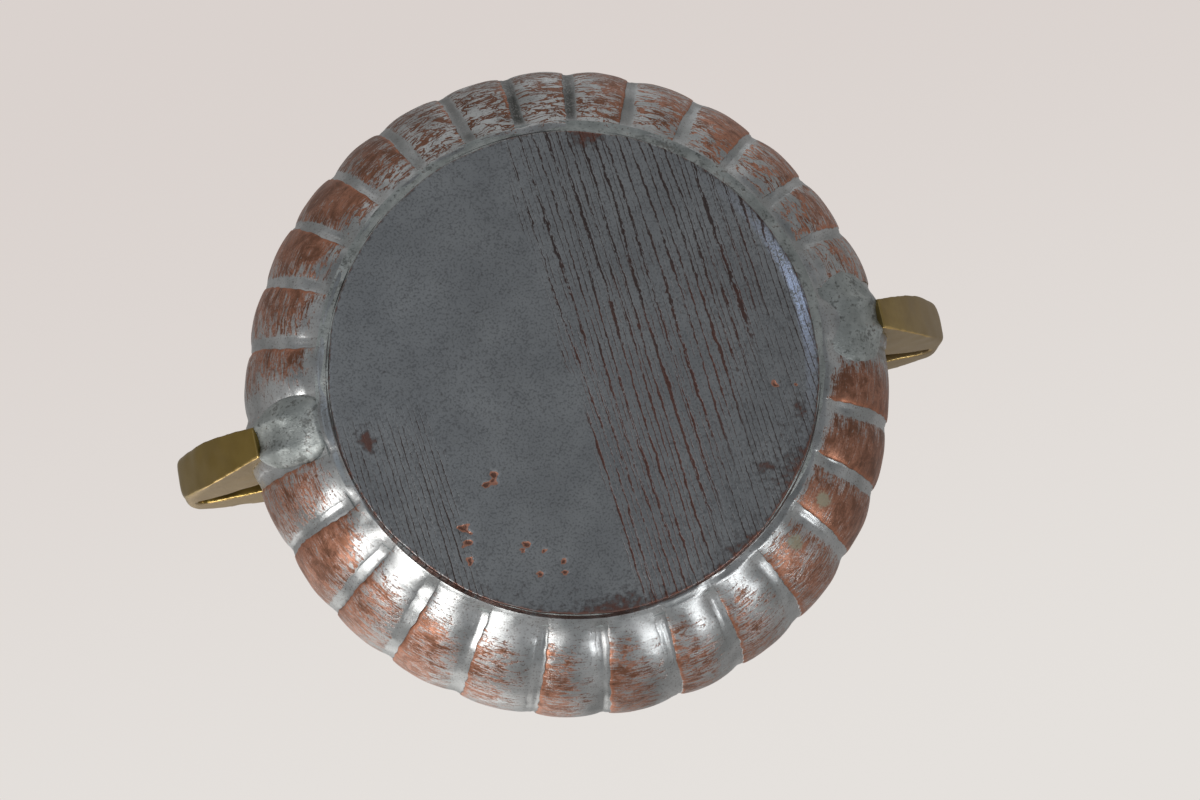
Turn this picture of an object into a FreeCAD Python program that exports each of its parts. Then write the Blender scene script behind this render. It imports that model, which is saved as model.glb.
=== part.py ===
import FreeCAD, Part
import math
import os

# A lobed copper bowl with a petalled lid and two brass loop handles.
# Millimetres and degrees. The base plate's underside lies at z = 0, the axis is Z and the handles are on X.

# Sheet metal of the bowl and the lid
SHEET = 1.0

# Base plate and the solder around it
BASE_PLATE_RADIUS = 43.6
BASE_PLATE_THICKNESS = 1.0
BASE_PLATE_ROUNDING = 0.3
BASE_SOLDER_WIDTH = 1.8

# Bowl profile, outside
SHOULDER_WIDTH = 2.8
SHOULDER_RISE = 1.6
BELLY_RADIUS = 60.6
BELLY_HEIGHT = 21.0
NECK_RADIUS = 48.6
NECK_HEIGHT = 7.5
RIM_HEIGHT = 50.0

# Lobes of the belly: one under each handle, the rest in front and behind
FRONT_LOBE_COUNT = 13
BACK_LOBE_COUNT = 14
LOBE_DEPTH = 1.1
LOBE_FADE = 0.5
LOBE_GROOVE_SHARE = 0.24
LOWER_SECTION_COUNT = 4
UPPER_SECTION_COUNT = 4

# Rolled bead at the mouth
BEAD_WIDTH = 2.4
BEAD_DEPTH = 3.0
BEAD_LAND = 1.2

# Handles, which stand out from the belly and end below the rim
HANDLE_COUNT = 2
HANDLE_STANDOUT = 14.4
HANDLE_ROOT_DEPTH = 1.0
HANDLE_LOW = 8.5
HANDLE_TOP_DROP = 5.5
HANDLE_TIP_HEIGHT = 10.5
HANDLE_BOW = 1.6
ROOT_FACET = 1.8
LOWER_LEG_ROOT = 18.0
UPPER_LEG_ROOT = 9.8
UPPER_LEG_DEPTH = 5.6
HANDLE_TIP_DEPTH = 4.2
FINGER_GAP_RISE = 2.4
LOWER_ROOT_WIDTH = 5.2
ELBOW_WIDTH = 8.3
HANDLE_TOP_WIDTH = 10.0
UPPER_ROOT_WIDTH = 12.4
ELBOW_ROUNDING = 2.4
HANDLE_TOP_ROUNDING = 3.6
FINGER_GAP_ROUNDING = 1.0
TIP_SIDE_ROUNDING = 1.6

# Solder at the handle roots: a flat lens under the lower one, a fuller lens around the upper one
LOWER_SOLDER_RADIUS = 12.0
LOWER_SOLDER_PROUD = 1.2
LOWER_SOLDER_RISE = 3.0
UPPER_SOLDER_RADIUS = 10.5
UPPER_SOLDER_PROUD = 2.4

# Lid, which rests on the bead and drops its collar into the neck
LID_OVERHANG = 0.5
COLLAR_CLEARANCE = 0.5
COLLAR_THICKNESS = 0.8
COLLAR_DEPTH = 8.0
COLLAR_SOLDER_WIDTH = 1.0
DOME_HEIGHT = 19.5
PETAL_COUNT = 20
PETAL_MARGIN = 2.3
PETAL_DEPTH = 1.3
PETAL_FADE = 0.5
PETAL_GROOVE_SHARE = 0.2
PETAL_SECTION_COUNT = 6

# Knob on the lid
CROWN_MARGIN = 1.4
ROSETTE_RADIUS = 8.6
ROSETTE_THICKNESS = 0.9
KNOB_FOOT_RADIUS = 5.6
KNOB_FOOT_HEIGHT = 1.6
KNOB_STEM_RADIUS = 2.9
KNOB_STEM_HEIGHT = 3.0
KNOB_BULB_RADIUS = 6.4
KNOB_BULB_HEIGHT = 8.6
KNOB_TIP_RADIUS = 1.8
KNOB_TIP_HEIGHT = 2.6
TANG_RADIUS = 2.0
TANG_CLEARANCE = 0.1
WASHER_RADIUS = 5.0
WASHER_THICKNESS = 1.0
PEENED_SPREAD = 1.2
PEENED_HEIGHT = 1.0

# How far cutting solids run past the faces that they cut, and how near to a place its edge is looked for
CUT_PAST = 1.0
EDGE_REACH = 0.5

ORIGIN = FreeCAD.Vector(0, 0, 0)
UP = FreeCAD.Vector(0, 0, 1)
ALONG_X = FreeCAD.Vector(1, 0, 0)
FULL_TURN_DEGREES = 360.0
HALF_TURN_DEGREES = 180.0

# Bowl sizes that follow from those above
bottom_radius = BASE_PLATE_RADIUS + BASE_SOLDER_WIDTH
shoulder_radius = bottom_radius + SHOULDER_WIDTH
shoulder_height = BASE_PLATE_THICKNESS + SHOULDER_RISE
neck_foot_height = RIM_HEIGHT - NECK_HEIGHT
mouth_radius = NECK_RADIUS - SHEET

# Handle sizes that follow
handle_reach = BELLY_RADIUS + HANDLE_STANDOUT
handle_top = RIM_HEIGHT - HANDLE_TOP_DROP
handle_elbow = handle_top - HANDLE_TIP_HEIGHT
gap_reach = handle_reach - HANDLE_TIP_DEPTH
gap_low = HANDLE_LOW + LOWER_LEG_ROOT
gap_corner = handle_elbow + FINGER_GAP_RISE
gap_top = handle_top - UPPER_LEG_DEPTH
gap_root_top = handle_top - UPPER_LEG_ROOT

# Lid sizes that follow
lid_radius = NECK_RADIUS + BEAD_WIDTH + LID_OVERHANG
collar_outer = mouth_radius - COLLAR_CLEARANCE
collar_inner = collar_outer - COLLAR_THICKNESS
dome_foot_radius = collar_inner - COLLAR_SOLDER_WIDTH
dome_foot_height = RIM_HEIGHT + SHEET
dome_sphere_radius = (dome_foot_radius ** 2 + DOME_HEIGHT ** 2) / (2 * DOME_HEIGHT)
dome_centre_height = dome_foot_height + DOME_HEIGHT - dome_sphere_radius
crown_radius = ROSETTE_RADIUS + CROWN_MARGIN
crown_slope = math.asin(crown_radius / dome_sphere_radius)
crown_height = dome_centre_height + dome_sphere_radius * math.cos(crown_slope)
crown_underside = dome_centre_height + (dome_sphere_radius - SHEET) * math.cos(crown_slope)
tang_hole_radius = TANG_RADIUS + TANG_CLEARANCE


def around(radius, angle, height):
    """A point at a radius and an angle in degrees about the axis."""
    turn = math.radians(angle)
    return FreeCAD.Vector(radius * math.cos(turn), radius * math.sin(turn), height)


def beside(radius, height):
    """A point in the XZ plane."""
    return FreeCAD.Vector(radius, 0, height)


def line(start, end):
    return Part.LineSegment(start, end).toShape()


def arc(start, middle, end):
    return Part.Arc(start, middle, end).toShape()


def polygon(corners):
    return Part.makePolygon(corners + corners[:1])


def turned(outline):
    """The solid of revolution about the axis of a closed outline of (radius, height) corners."""
    corners = [beside(radius, height) for radius, height in outline]
    return Part.Face(polygon(corners)).revolve(ORIGIN, UP, FULL_TURN_DEGREES)


def ring(inner, outer, low, high):
    return turned([(inner, low), (outer, low), (outer, high), (inner, high)])


def disc(radius, low, high):
    return Part.makeCylinder(radius, high - low, beside(0, low), UP)


def joined(first, *others):
    return first.fuse(list(others)).removeSplitter()


def lobe_row(first, pitch, count):
    """The middle angle and pitch of each lobe in a row that starts at the angle first."""
    return [(first + (k + 0.5) * pitch, pitch) for k in range(count)]


def bowl_lobes():
    """Lobes of the belly, anticlockwise from the handle on +X."""
    handle_pitch = FULL_TURN_DEGREES / (FRONT_LOBE_COUNT + BACK_LOBE_COUNT + HANDLE_COUNT)
    open_side = HALF_TURN_DEGREES - handle_pitch
    back = lobe_row(handle_pitch / 2, open_side / BACK_LOBE_COUNT, BACK_LOBE_COUNT)
    front = lobe_row(HALF_TURN_DEGREES + handle_pitch / 2, open_side / FRONT_LOBE_COUNT, FRONT_LOBE_COUNT)
    return [(0.0, handle_pitch)] + back + [(HALF_TURN_DEGREES, handle_pitch)] + front


def lid_petals():
    return lobe_row(0.0, FULL_TURN_DEGREES / PETAL_COUNT, PETAL_COUNT)


def lobed_wire(lobes, groove_share, crest, depth, height):
    """A closed level outline: each lobe is an arc up to the crest, with an arc in the groove after it."""
    groove = crest - depth
    spans = []
    for middle, pitch in lobes:
        half = pitch * (1 - groove_share) / 2
        spans.append((middle - half, middle, middle + half))
    edges = []
    for k, (start, middle, end) in enumerate(spans):
        following = spans[(k + 1) % len(spans)][0]
        if following < end:
            following += FULL_TURN_DEGREES
        left = around(groove, start, height)
        right = around(groove, end, height)
        edges.append(arc(left, around(crest, middle, height), right))
        between = around(groove, (end + following) / 2, height)
        edges.append(arc(right, between, around(groove, following, height)))
    return Part.Wire(edges)


def faded(depth, share, fade):
    """A lobe's depth at a share of the way along it, nothing at both ends."""
    return depth * max(0.0, math.sin(math.pi * share)) ** fade


class BellyArc:
    """An arc of the bowl's profile, upright at the belly, that ends at a given radius and height."""

    def __init__(self, end_radius, end_height):
        drop = end_height - BELLY_HEIGHT
        gap = BELLY_RADIUS - end_radius
        self.centre = (BELLY_RADIUS ** 2 - end_radius ** 2 - drop ** 2) / (2 * gap)
        self.radius = BELLY_RADIUS - self.centre
        self.end_angle = math.atan2(drop, end_radius - self.centre)

    def at(self, angle, inset):
        """The radius and height at an angle from the belly, drawn in by an inset."""
        radius = self.radius - inset
        return self.centre + radius * math.cos(angle), BELLY_HEIGHT + radius * math.sin(angle)

    def angle_at_radius(self, radius, inset):
        return math.acos((radius - self.centre) / (self.radius - inset))

    def angle_at_height(self, height):
        return math.asin((height - BELLY_HEIGHT) / self.radius)


lower_arc = BellyArc(shoulder_radius, shoulder_height)
upper_arc = BellyArc(NECK_RADIUS, neck_foot_height)
handle_wall = lower_arc.at(lower_arc.angle_at_height(HANDLE_LOW), 0)[0]
handle_inner = min(handle_wall, NECK_RADIUS) - HANDLE_ROOT_DEPTH


def inside_wall(height, inset):
    """The radius and height of the point an inset behind the bowl's outside, square to the wall."""
    if height > neck_foot_height:
        return NECK_RADIUS - inset, height
    profile = lower_arc if height < BELLY_HEIGHT else upper_arc
    return profile.at(profile.angle_at_height(height), inset)


def bowl_solid(inset, top):
    """The bowl as a full solid up to a height, drawn in by an inset from its outside."""
    neck_radius = NECK_RADIUS - inset
    neck_angle = upper_arc.angle_at_radius(neck_radius, inset)
    profile = []
    for k in range(LOWER_SECTION_COUNT):
        profile.append(lower_arc.at(lower_arc.end_angle * (1 - k / LOWER_SECTION_COUNT), inset))
    for k in range(UPPER_SECTION_COUNT + 1):
        profile.append(upper_arc.at(neck_angle * k / UPPER_SECTION_COUNT, inset))
    last = len(profile) - 1
    wires = []
    for k, (radius, height) in enumerate(profile):
        depth = faded(LOBE_DEPTH, k / last, LOBE_FADE)
        wires.append(lobed_wire(bowl_lobes(), LOBE_GROOVE_SHARE, radius, depth, height))
    belly = Part.makeLoft(wires, True)

    foot_radius, foot_height = profile[0]
    floor = BASE_PLATE_THICKNESS + inset
    floor_radius = foot_radius - (foot_height - floor) * SHOULDER_WIDTH / SHOULDER_RISE
    foot = turned([(0, floor), (floor_radius, floor), (foot_radius, foot_height), (0, foot_height)])
    neck = disc(neck_radius, profile[last][1], top)
    return joined(foot, belly, neck)


def make_base_plate():
    plate = disc(BASE_PLATE_RADIUS, 0, BASE_PLATE_THICKNESS)
    lower_edges = [edge for edge in plate.Edges if edge.BoundBox.ZMax < BASE_PLATE_THICKNESS / 2]
    return plate.makeFillet(BASE_PLATE_ROUNDING, lower_edges)


def make_base_solder():
    top = BASE_PLATE_THICKNESS
    toe = (BASE_PLATE_RADIUS, BASE_PLATE_ROUNDING)
    return turned([toe, (bottom_radius, top), (BASE_PLATE_RADIUS, top)])


def make_rim_bead():
    """A bead with a flat land on top for the lid and a round side."""
    low = RIM_HEIGHT - BEAD_DEPTH
    land = beside(NECK_RADIUS + BEAD_LAND, RIM_HEIGHT)
    side = beside(NECK_RADIUS + BEAD_WIDTH, RIM_HEIGHT - BEAD_DEPTH / 2)
    under = beside(NECK_RADIUS + BEAD_LAND, low)
    edges = [
        line(beside(NECK_RADIUS, RIM_HEIGHT), land),
        arc(land, side, under),
        line(under, beside(NECK_RADIUS, low)),
        line(beside(NECK_RADIUS, low), beside(NECK_RADIUS, RIM_HEIGHT)),
    ]
    return Part.Face(Part.Wire(edges)).revolve(ORIGIN, UP, FULL_TURN_DEGREES)


def bowed_middle(start, end, bow):
    """The middle point of an arc from start to end in the XZ plane that bows outwards and down."""
    chord = end - start
    side = FreeCAD.Vector(chord.z, 0, -chord.x).normalize()
    return (start + end) * 0.5 + side * bow


def handle_side():
    """The loop seen from the side, with a facet at its lower end, drawn into the wall, without its finger gap."""
    low = beside(handle_wall + ROOT_FACET, HANDLE_LOW)
    facet = beside(handle_wall, HANDLE_LOW + ROOT_FACET)
    elbow = beside(handle_reach, handle_elbow)
    tip = beside(handle_reach, handle_top)
    upper_root = beside(handle_inner, handle_top)
    lower_root = beside(handle_inner, HANDLE_LOW + ROOT_FACET)
    edges = [
        line(lower_root, facet),
        line(facet, low),
        arc(low, bowed_middle(low, elbow, HANDLE_BOW), elbow),
        line(elbow, tip),
        line(tip, upper_root),
        line(upper_root, lower_root),
    ]
    return Part.Face(Part.Wire(edges))


def finger_gap():
    """The gap of the loop seen from the side, from its tip into the bowl."""
    inner = handle_inner - CUT_PAST
    corners = [
        beside(handle_wall, gap_low),
        beside(gap_reach, gap_corner),
        beside(gap_reach, gap_top),
        beside(handle_wall, gap_root_top),
        beside(inner, gap_root_top),
        beside(inner, gap_low),
    ]
    return Part.Face(polygon(corners))


def across(face, width):
    """A face in the XZ plane drawn out to a width across Y."""
    moved = face.translated(FreeCAD.Vector(0, -width / 2, 0))
    return moved.extrude(FreeCAD.Vector(0, width, 0))


def rounded_across(solid, radius, height, rounding):
    """The solid with its edge along Y at a place in the XZ plane rounded off."""
    found = []
    for edge in solid.Edges:
        box = edge.BoundBox
        here = abs(box.Center.x - radius) < EDGE_REACH and abs(box.Center.z - height) < EDGE_REACH
        if here and box.YLength > box.XLength + box.ZLength:
            found.append(edge)
    return solid.makeFillet(rounding, found)


def handle_plan(root_width, tip_width, height):
    """The loop's level outline at a height, from its tip past the wall with the same taper."""
    taper = (tip_width - root_width) / (handle_reach - handle_wall)
    inner_width = root_width - taper * (handle_wall - handle_inner)
    corners = [
        FreeCAD.Vector(handle_inner, -inner_width / 2, height),
        FreeCAD.Vector(handle_reach, -tip_width / 2, height),
        FreeCAD.Vector(handle_reach, tip_width / 2, height),
        FreeCAD.Vector(handle_inner, inner_width / 2, height),
    ]
    return polygon(corners)


def handle_flare():
    """The loop's flare: narrow at the lower root, wider at the elbow and widest at the upper root."""
    rise = (handle_elbow - HANDLE_LOW) / (handle_top - HANDLE_LOW)
    middle_root_width = LOWER_ROOT_WIDTH + (UPPER_ROOT_WIDTH - LOWER_ROOT_WIDTH) * rise
    plans = [
        handle_plan(LOWER_ROOT_WIDTH, ELBOW_WIDTH, HANDLE_LOW),
        handle_plan(middle_root_width, ELBOW_WIDTH, handle_elbow),
        handle_plan(UPPER_ROOT_WIDTH, HANDLE_TOP_WIDTH, handle_top),
    ]
    flare = Part.makeLoft(plans, True, True)
    tips = []
    for edge in flare.Edges:
        box = edge.BoundBox
        if box.XMin > handle_reach - EDGE_REACH and box.ZLength > box.YLength:
            tips.append(edge)
    return flare.makeFillet(TIP_SIDE_ROUNDING, tips)


def make_handle(bowl):
    """The handle on +X, trimmed to the bowl's outside."""
    flare = handle_flare()
    width = flare.BoundBox.YLength + CUT_PAST
    block = across(handle_side(), width)
    block = rounded_across(block, handle_reach, handle_elbow, ELBOW_ROUNDING)
    block = rounded_across(block, handle_reach, handle_top, HANDLE_TOP_ROUNDING)
    gap = across(finger_gap(), width + CUT_PAST)
    gap = rounded_across(gap, gap_reach, gap_corner, FINGER_GAP_ROUNDING)
    gap = rounded_across(gap, gap_reach, gap_top, FINGER_GAP_ROUNDING)
    return block.cut(gap).common(flare).cut(bowl)


def make_root_solder(neighbours, height, sphere, proud):
    """A lens of solder that stands proud of the bowl around a handle root, trimmed to its neighbours."""
    radius, level = inside_wall(height, sphere - proud)
    lens = Part.makeSphere(sphere, beside(radius, level))
    pieces = lens.cut(neighbours).Solids
    return max(pieces, key=lambda piece: piece.Volume)


def mirrored(shape):
    return shape.mirror(ORIGIN, ALONG_X)


def dome_height(radius, sphere):
    """The height of a dome of a given sphere radius at a radius from the axis."""
    return dome_centre_height + math.sqrt(sphere ** 2 - radius ** 2)


def lid_dome(inset, foot_height):
    """The lid's dome as a full solid from its foot up, drawn in by an inset."""
    sphere = dome_sphere_radius - inset
    start = math.asin((dome_foot_radius - PETAL_MARGIN) / dome_sphere_radius)
    wires = []
    for k in range(PETAL_SECTION_COUNT + 1):
        share = k / PETAL_SECTION_COUNT
        radius = sphere * math.sin(start + (crown_slope - start) * share)
        depth = faded(PETAL_DEPTH, share, PETAL_FADE)
        height = dome_height(radius, sphere)
        wires.append(lobed_wire(lid_petals(), PETAL_GROOVE_SHARE, radius, depth, height))
    petals = Part.makeLoft(wires, True)
    foot_radius = math.sqrt(sphere ** 2 - (foot_height - dome_centre_height) ** 2)
    petal_radius = sphere * math.sin(start)
    petal_height = dome_height(petal_radius, sphere)
    foot = turned([
        (0, foot_height),
        (foot_radius, foot_height),
        (petal_radius, petal_height),
        (0, petal_height),
    ])
    return joined(foot, petals)


def make_lid_shell():
    border = disc(lid_radius, RIM_HEIGHT, dome_foot_height)
    outside = joined(border, lid_dome(0, dome_foot_height))
    tang_hole = disc(tang_hole_radius, RIM_HEIGHT, crown_height + CUT_PAST)
    return outside.cut(lid_dome(SHEET, RIM_HEIGHT)).cut(tang_hole)


def make_lid_collar_solder():
    inner = collar_inner - COLLAR_SOLDER_WIDTH
    low = RIM_HEIGHT - COLLAR_SOLDER_WIDTH
    return turned([(collar_inner, low), (collar_inner, RIM_HEIGHT), (inner, RIM_HEIGHT)])


def make_knob(seat, underside):
    """A turned finial that stands on a seat, with a tang peened below an underside."""
    stem_low = seat + KNOB_FOOT_HEIGHT
    bulb_low = stem_low + KNOB_STEM_HEIGHT
    bulb_high = bulb_low + KNOB_BULB_HEIGHT
    top = bulb_high + KNOB_TIP_HEIGHT
    peened = underside - PEENED_HEIGHT
    peened_radius = TANG_RADIUS + PEENED_SPREAD
    below_bulb = [
        beside(0, top),
        beside(0, peened),
        beside(peened_radius, peened),
        beside(peened_radius, underside),
        beside(TANG_RADIUS, underside),
        beside(TANG_RADIUS, seat),
        beside(KNOB_FOOT_RADIUS, seat),
        beside(KNOB_FOOT_RADIUS, stem_low),
        beside(KNOB_STEM_RADIUS, stem_low),
        beside(KNOB_STEM_RADIUS, bulb_low),
    ]
    above_bulb = [
        beside(KNOB_TIP_RADIUS, bulb_high),
        beside(KNOB_TIP_RADIUS, top),
        beside(0, top),
    ]
    widest = beside(KNOB_BULB_RADIUS, (bulb_low + bulb_high) / 2)
    bulb = arc(below_bulb[-1], widest, above_bulb[0])
    outline = Part.Wire(Part.makePolygon(below_bulb).Edges + [bulb] + Part.makePolygon(above_bulb).Edges)
    return Part.Face(outline).revolve(ORIGIN, UP, FULL_TURN_DEGREES)


def build():
    """Every piece of the bowl and its lid, by name."""
    bowl = bowl_solid(0, RIM_HEIGHT)
    pieces = {
        "bowl_wall": bowl.cut(bowl_solid(SHEET, RIM_HEIGHT + CUT_PAST)),
        "base_plate": make_base_plate(),
        "base_solder": make_base_solder(),
        "rim_bead": make_rim_bead(),
    }

    handle = make_handle(bowl)
    pieces["handle_right"] = handle
    pieces["handle_left"] = mirrored(handle)
    neighbours = [bowl, handle, pieces["base_plate"], pieces["rim_bead"]]
    roots = {
        "lower": (HANDLE_LOW + LOWER_SOLDER_RISE, LOWER_SOLDER_RADIUS, LOWER_SOLDER_PROUD),
        "upper": ((gap_root_top + handle_top) / 2, UPPER_SOLDER_RADIUS, UPPER_SOLDER_PROUD),
    }
    for root, (height, sphere, proud) in roots.items():
        solder = make_root_solder(neighbours, height, sphere, proud)
        neighbours.append(solder)
        pieces[f"handle_right_{root}_solder"] = solder
        pieces[f"handle_left_{root}_solder"] = mirrored(solder)

    pieces["lid_shell"] = make_lid_shell()
    pieces["lid_collar"] = ring(collar_inner, collar_outer, RIM_HEIGHT - COLLAR_DEPTH, RIM_HEIGHT)
    pieces["lid_collar_solder"] = make_lid_collar_solder()

    seat = crown_height + ROSETTE_THICKNESS
    washer_underside = crown_underside - WASHER_THICKNESS
    pieces["knob_rosette"] = ring(tang_hole_radius, ROSETTE_RADIUS, crown_height, seat)
    pieces["knob_washer"] = ring(tang_hole_radius, WASHER_RADIUS, washer_underside, crown_underside)
    pieces["knob"] = make_knob(seat, washer_underside)
    return pieces


os.makedirs("parts", exist_ok=True)
for name, shape in build().items():
    shape.exportStep(f"parts/{name}.step")
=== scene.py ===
import logging
import math
from collections.abc import Sequence
from dataclasses import dataclass
from enum import Enum, IntEnum
from typing import Any

import bpy
import numpy as np
from mathutils import Matrix, Vector


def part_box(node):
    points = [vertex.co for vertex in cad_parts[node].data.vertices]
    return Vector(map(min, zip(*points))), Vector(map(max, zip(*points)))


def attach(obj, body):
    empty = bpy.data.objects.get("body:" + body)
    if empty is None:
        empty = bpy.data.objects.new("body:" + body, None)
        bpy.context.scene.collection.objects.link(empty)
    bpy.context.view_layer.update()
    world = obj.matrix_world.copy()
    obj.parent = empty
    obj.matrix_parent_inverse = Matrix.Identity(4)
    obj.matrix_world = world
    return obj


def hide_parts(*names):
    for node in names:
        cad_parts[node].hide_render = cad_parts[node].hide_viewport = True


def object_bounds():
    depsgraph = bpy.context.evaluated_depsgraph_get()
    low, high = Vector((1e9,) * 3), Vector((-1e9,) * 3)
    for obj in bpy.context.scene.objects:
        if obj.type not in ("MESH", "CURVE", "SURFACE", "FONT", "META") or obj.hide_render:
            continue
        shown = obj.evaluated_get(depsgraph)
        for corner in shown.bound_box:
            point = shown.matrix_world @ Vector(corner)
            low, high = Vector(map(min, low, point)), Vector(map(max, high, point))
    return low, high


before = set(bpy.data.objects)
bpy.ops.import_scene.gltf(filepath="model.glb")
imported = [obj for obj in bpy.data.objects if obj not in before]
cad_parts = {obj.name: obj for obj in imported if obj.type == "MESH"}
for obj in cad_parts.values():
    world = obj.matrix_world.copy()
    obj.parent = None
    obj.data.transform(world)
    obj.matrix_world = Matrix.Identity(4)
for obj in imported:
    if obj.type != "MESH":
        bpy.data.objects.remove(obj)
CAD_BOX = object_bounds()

# A lobed bowl of tinned copper with a petalled lid and two brass loop handles. Lengths are metres, angles radians.

LOG = logging.getLogger("lobed_bowl")
MM = 0.001
FULL_TURN = 2 * math.pi
QUARTER_TURN = math.pi / 2

Colour = tuple[float, float, float]
Bumps = tuple[tuple[float, float, float], ...]


class Body(Enum):
    """The two bodies that the pieces ride on."""

    BOWL = "bowl"
    LID = "lid"


class Slot(Enum):
    """The record's material slots."""

    TINNED_COPPER = "tinned_copper"
    TINNED_PLATE = "tinned_plate"
    TIN_SOLDER = "tin_solder"
    CAST_BRASS = "cast_brass"


class Side(Enum):
    """The sides that carry a handle."""

    LEFT = "left"
    RIGHT = "right"


class Root(Enum):
    """Where a handle meets the wall."""

    LOWER = "lower"
    UPPER = "upper"


class Mark(Enum):
    """What the meshes tell their finishes, point by point."""

    SHEET = "sheet"
    COVER = "cover"
    EDGE = "edge"
    CRACK = "crack"
    DARK = "dark"
    STAIN = "stain"
    PIT = "pit"
    SIDE = "side"


class Seed(IntEnum):
    """The seed of each smooth random field."""

    PLATE_DISH = 3
    WALL_DENTS = 5
    WALL_RIPPLES = 6
    BEAD_WEAR = 11
    BASE_SOLDER = 13
    CASTING = 17
    PIT_EDGES = 19
    PETAL_WANDER = 31
    LOWER_SOLDER = 41
    UPPER_SOLDER = 43


def linear(red: int, green: int, blue: int) -> Colour:
    """A colour of 0 to 255 display values as linear light.

    Args:
        red: Display red.
        green: Display green.
        blue: Display blue.

    Returns:
        The three linear values.
    """
    shares = (red / 255, green / 255, blue / 255)
    return tuple(s / 12.92 if s <= 0.04045 else ((s + 0.055) / 1.055) ** 2.4 for s in shares)


def ease(low: float | np.ndarray, high: float | np.ndarray, value: np.ndarray) -> np.ndarray:
    """A smooth step from 0 at low to 1 at high.

    Args:
        low: Where the step starts.
        high: Where it ends.
        value: The values to step over.

    Returns:
        The step at each value.
    """
    share = np.clip((value - low) / (high - low), 0.0, 1.0)
    return share * share * (3 - 2 * share)


def bell(apart: np.ndarray, reach: float) -> np.ndarray:
    """A soft bump, 1 where apart is 0 and nearly 0 at twice the reach."""
    return np.exp(-((apart / reach) ** 2))


def near(angle: np.ndarray, centre: float, reach: float) -> np.ndarray:
    """A soft bump around an angle.

    Args:
        angle: Angles about the axis.
        centre: The bump's middle, in degrees.
        reach: How far it reaches, in degrees.

    Returns:
        1 in the middle, falling to 0.
    """
    apart = np.degrees(angle) - centre
    return bell((apart + 180.0) % 360.0 - 180.0, reach)


def bumps(angle: np.ndarray, places: Bumps) -> np.ndarray:
    """Soft bumps around several angles, added up.

    Args:
        angle: Angles about the axis.
        places: Each bump's height, and its middle and reach in degrees.

    Returns:
        The sum at each angle.
    """
    return sum(height * near(angle, centre, reach) for height, centre, reach in places)


def about_axis(radius: float | np.ndarray, angle: np.ndarray, height: np.ndarray) -> np.ndarray:
    """Points from their places about the axis.

    Args:
        radius: How far they are from it.
        angle: Their angles about it.
        height: Their heights.

    Returns:
        The points, with x, y and z in the last axis.
    """
    radius, angle, height = np.broadcast_arrays(radius, angle, height)
    return np.stack([radius * np.cos(angle), radius * np.sin(angle), height], axis=-1)


def arc(centre: tuple[float, float], reach: tuple[float, float], turns: np.ndarray) -> list[tuple[float, float]]:
    """The part of an outline that lies on an arc.

    Args:
        centre: The radius and height of the arc's middle.
        reach: How far it reaches away from the axis and up.
        turns: The angles along it.

    Returns:
        The radius and height of each point.
    """
    return [(centre[0] + reach[0] * math.cos(turn), centre[1] + reach[1] * math.sin(turn)) for turn in turns]


def lumps(points: np.ndarray, size: float, seed: int, waves: int = 24) -> np.ndarray:
    """A smooth random field, made of plane waves in random directions.

    Args:
        points: Places, with x, y and z in the last axis.
        size: The usual size of a lump.
        seed: The seed of the random draws.
        waves: How many waves are added up.

    Returns:
        The field at each place, mostly between -1 and 1.
    """
    draw = np.random.default_rng(seed)
    total = np.zeros(points.shape[:-1])
    for _ in range(waves):
        direction = draw.normal(size=3)
        direction *= draw.uniform(0.6, 1.5) * math.pi / (size * np.linalg.norm(direction))
        total += np.cos(points @ direction + draw.uniform(0, FULL_TURN))
    return total * math.sqrt(2 / waves)


class Value:
    """A number, colour or vector in a node tree, which adds nodes as it is worked with."""

    def __init__(self, tree: "Tree", socket: bpy.types.NodeSocket) -> None:
        """Keeps the tree and the socket that holds the value."""
        self.tree = tree
        self.socket = socket

    def _math(self, operation: str, first: "Value | float", second: "Value | float") -> "Value":
        """A Math node on two values."""
        return self.tree.add("ShaderNodeMath", {"operation": operation}, {0: first, 1: second})

    def __add__(self, other: "Value | float") -> "Value":
        """This value plus another."""
        return self._math("ADD", self, other)

    def __radd__(self, other: float) -> "Value":
        """A number plus this value."""
        return self._math("ADD", other, self)

    def __sub__(self, other: "Value | float") -> "Value":
        """This value minus another."""
        return self._math("SUBTRACT", self, other)

    def __rsub__(self, other: float) -> "Value":
        """A number minus this value."""
        return self._math("SUBTRACT", other, self)

    def __mul__(self, other: "Value | float") -> "Value":
        """This value times another."""
        return self._math("MULTIPLY", self, other)

    def __rmul__(self, other: float) -> "Value":
        """A number times this value."""
        return self._math("MULTIPLY", other, self)

    def __abs__(self) -> "Value":
        """This value without its sign."""
        return self._math("ABSOLUTE", self, 0.0)

    def whole(self) -> "Value":
        """The whole number at or below this value."""
        return self._math("FLOOR", self, 0.0)

    def step(self, low: float, high: float) -> "Value":
        """A smooth step over this value.

        Args:
            low: Where the result is 0.
            high: Where the result is 1.

        Returns:
            The step, which stays between 0 and 1.
        """
        sockets = {"Value": self, "From Min": low, "From Max": high}
        return self.tree.add("ShaderNodeMapRange", {"interpolation_type": "SMOOTHSTEP"}, sockets)

    def part(self, axis: str) -> "Value":
        """One of this vector's X, Y and Z."""
        return self.tree.add("ShaderNodeSeparateXYZ", {}, {0: self}, axis)

    def sized(self, x: float, y: float, z: float = 1.0) -> "Value":
        """This vector counted in steps of a size along each axis."""
        return self.tree.add("ShaderNodeVectorMath", {"operation": "MULTIPLY"}, {0: self, 1: (1 / x, 1 / y, 1 / z)})


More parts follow.
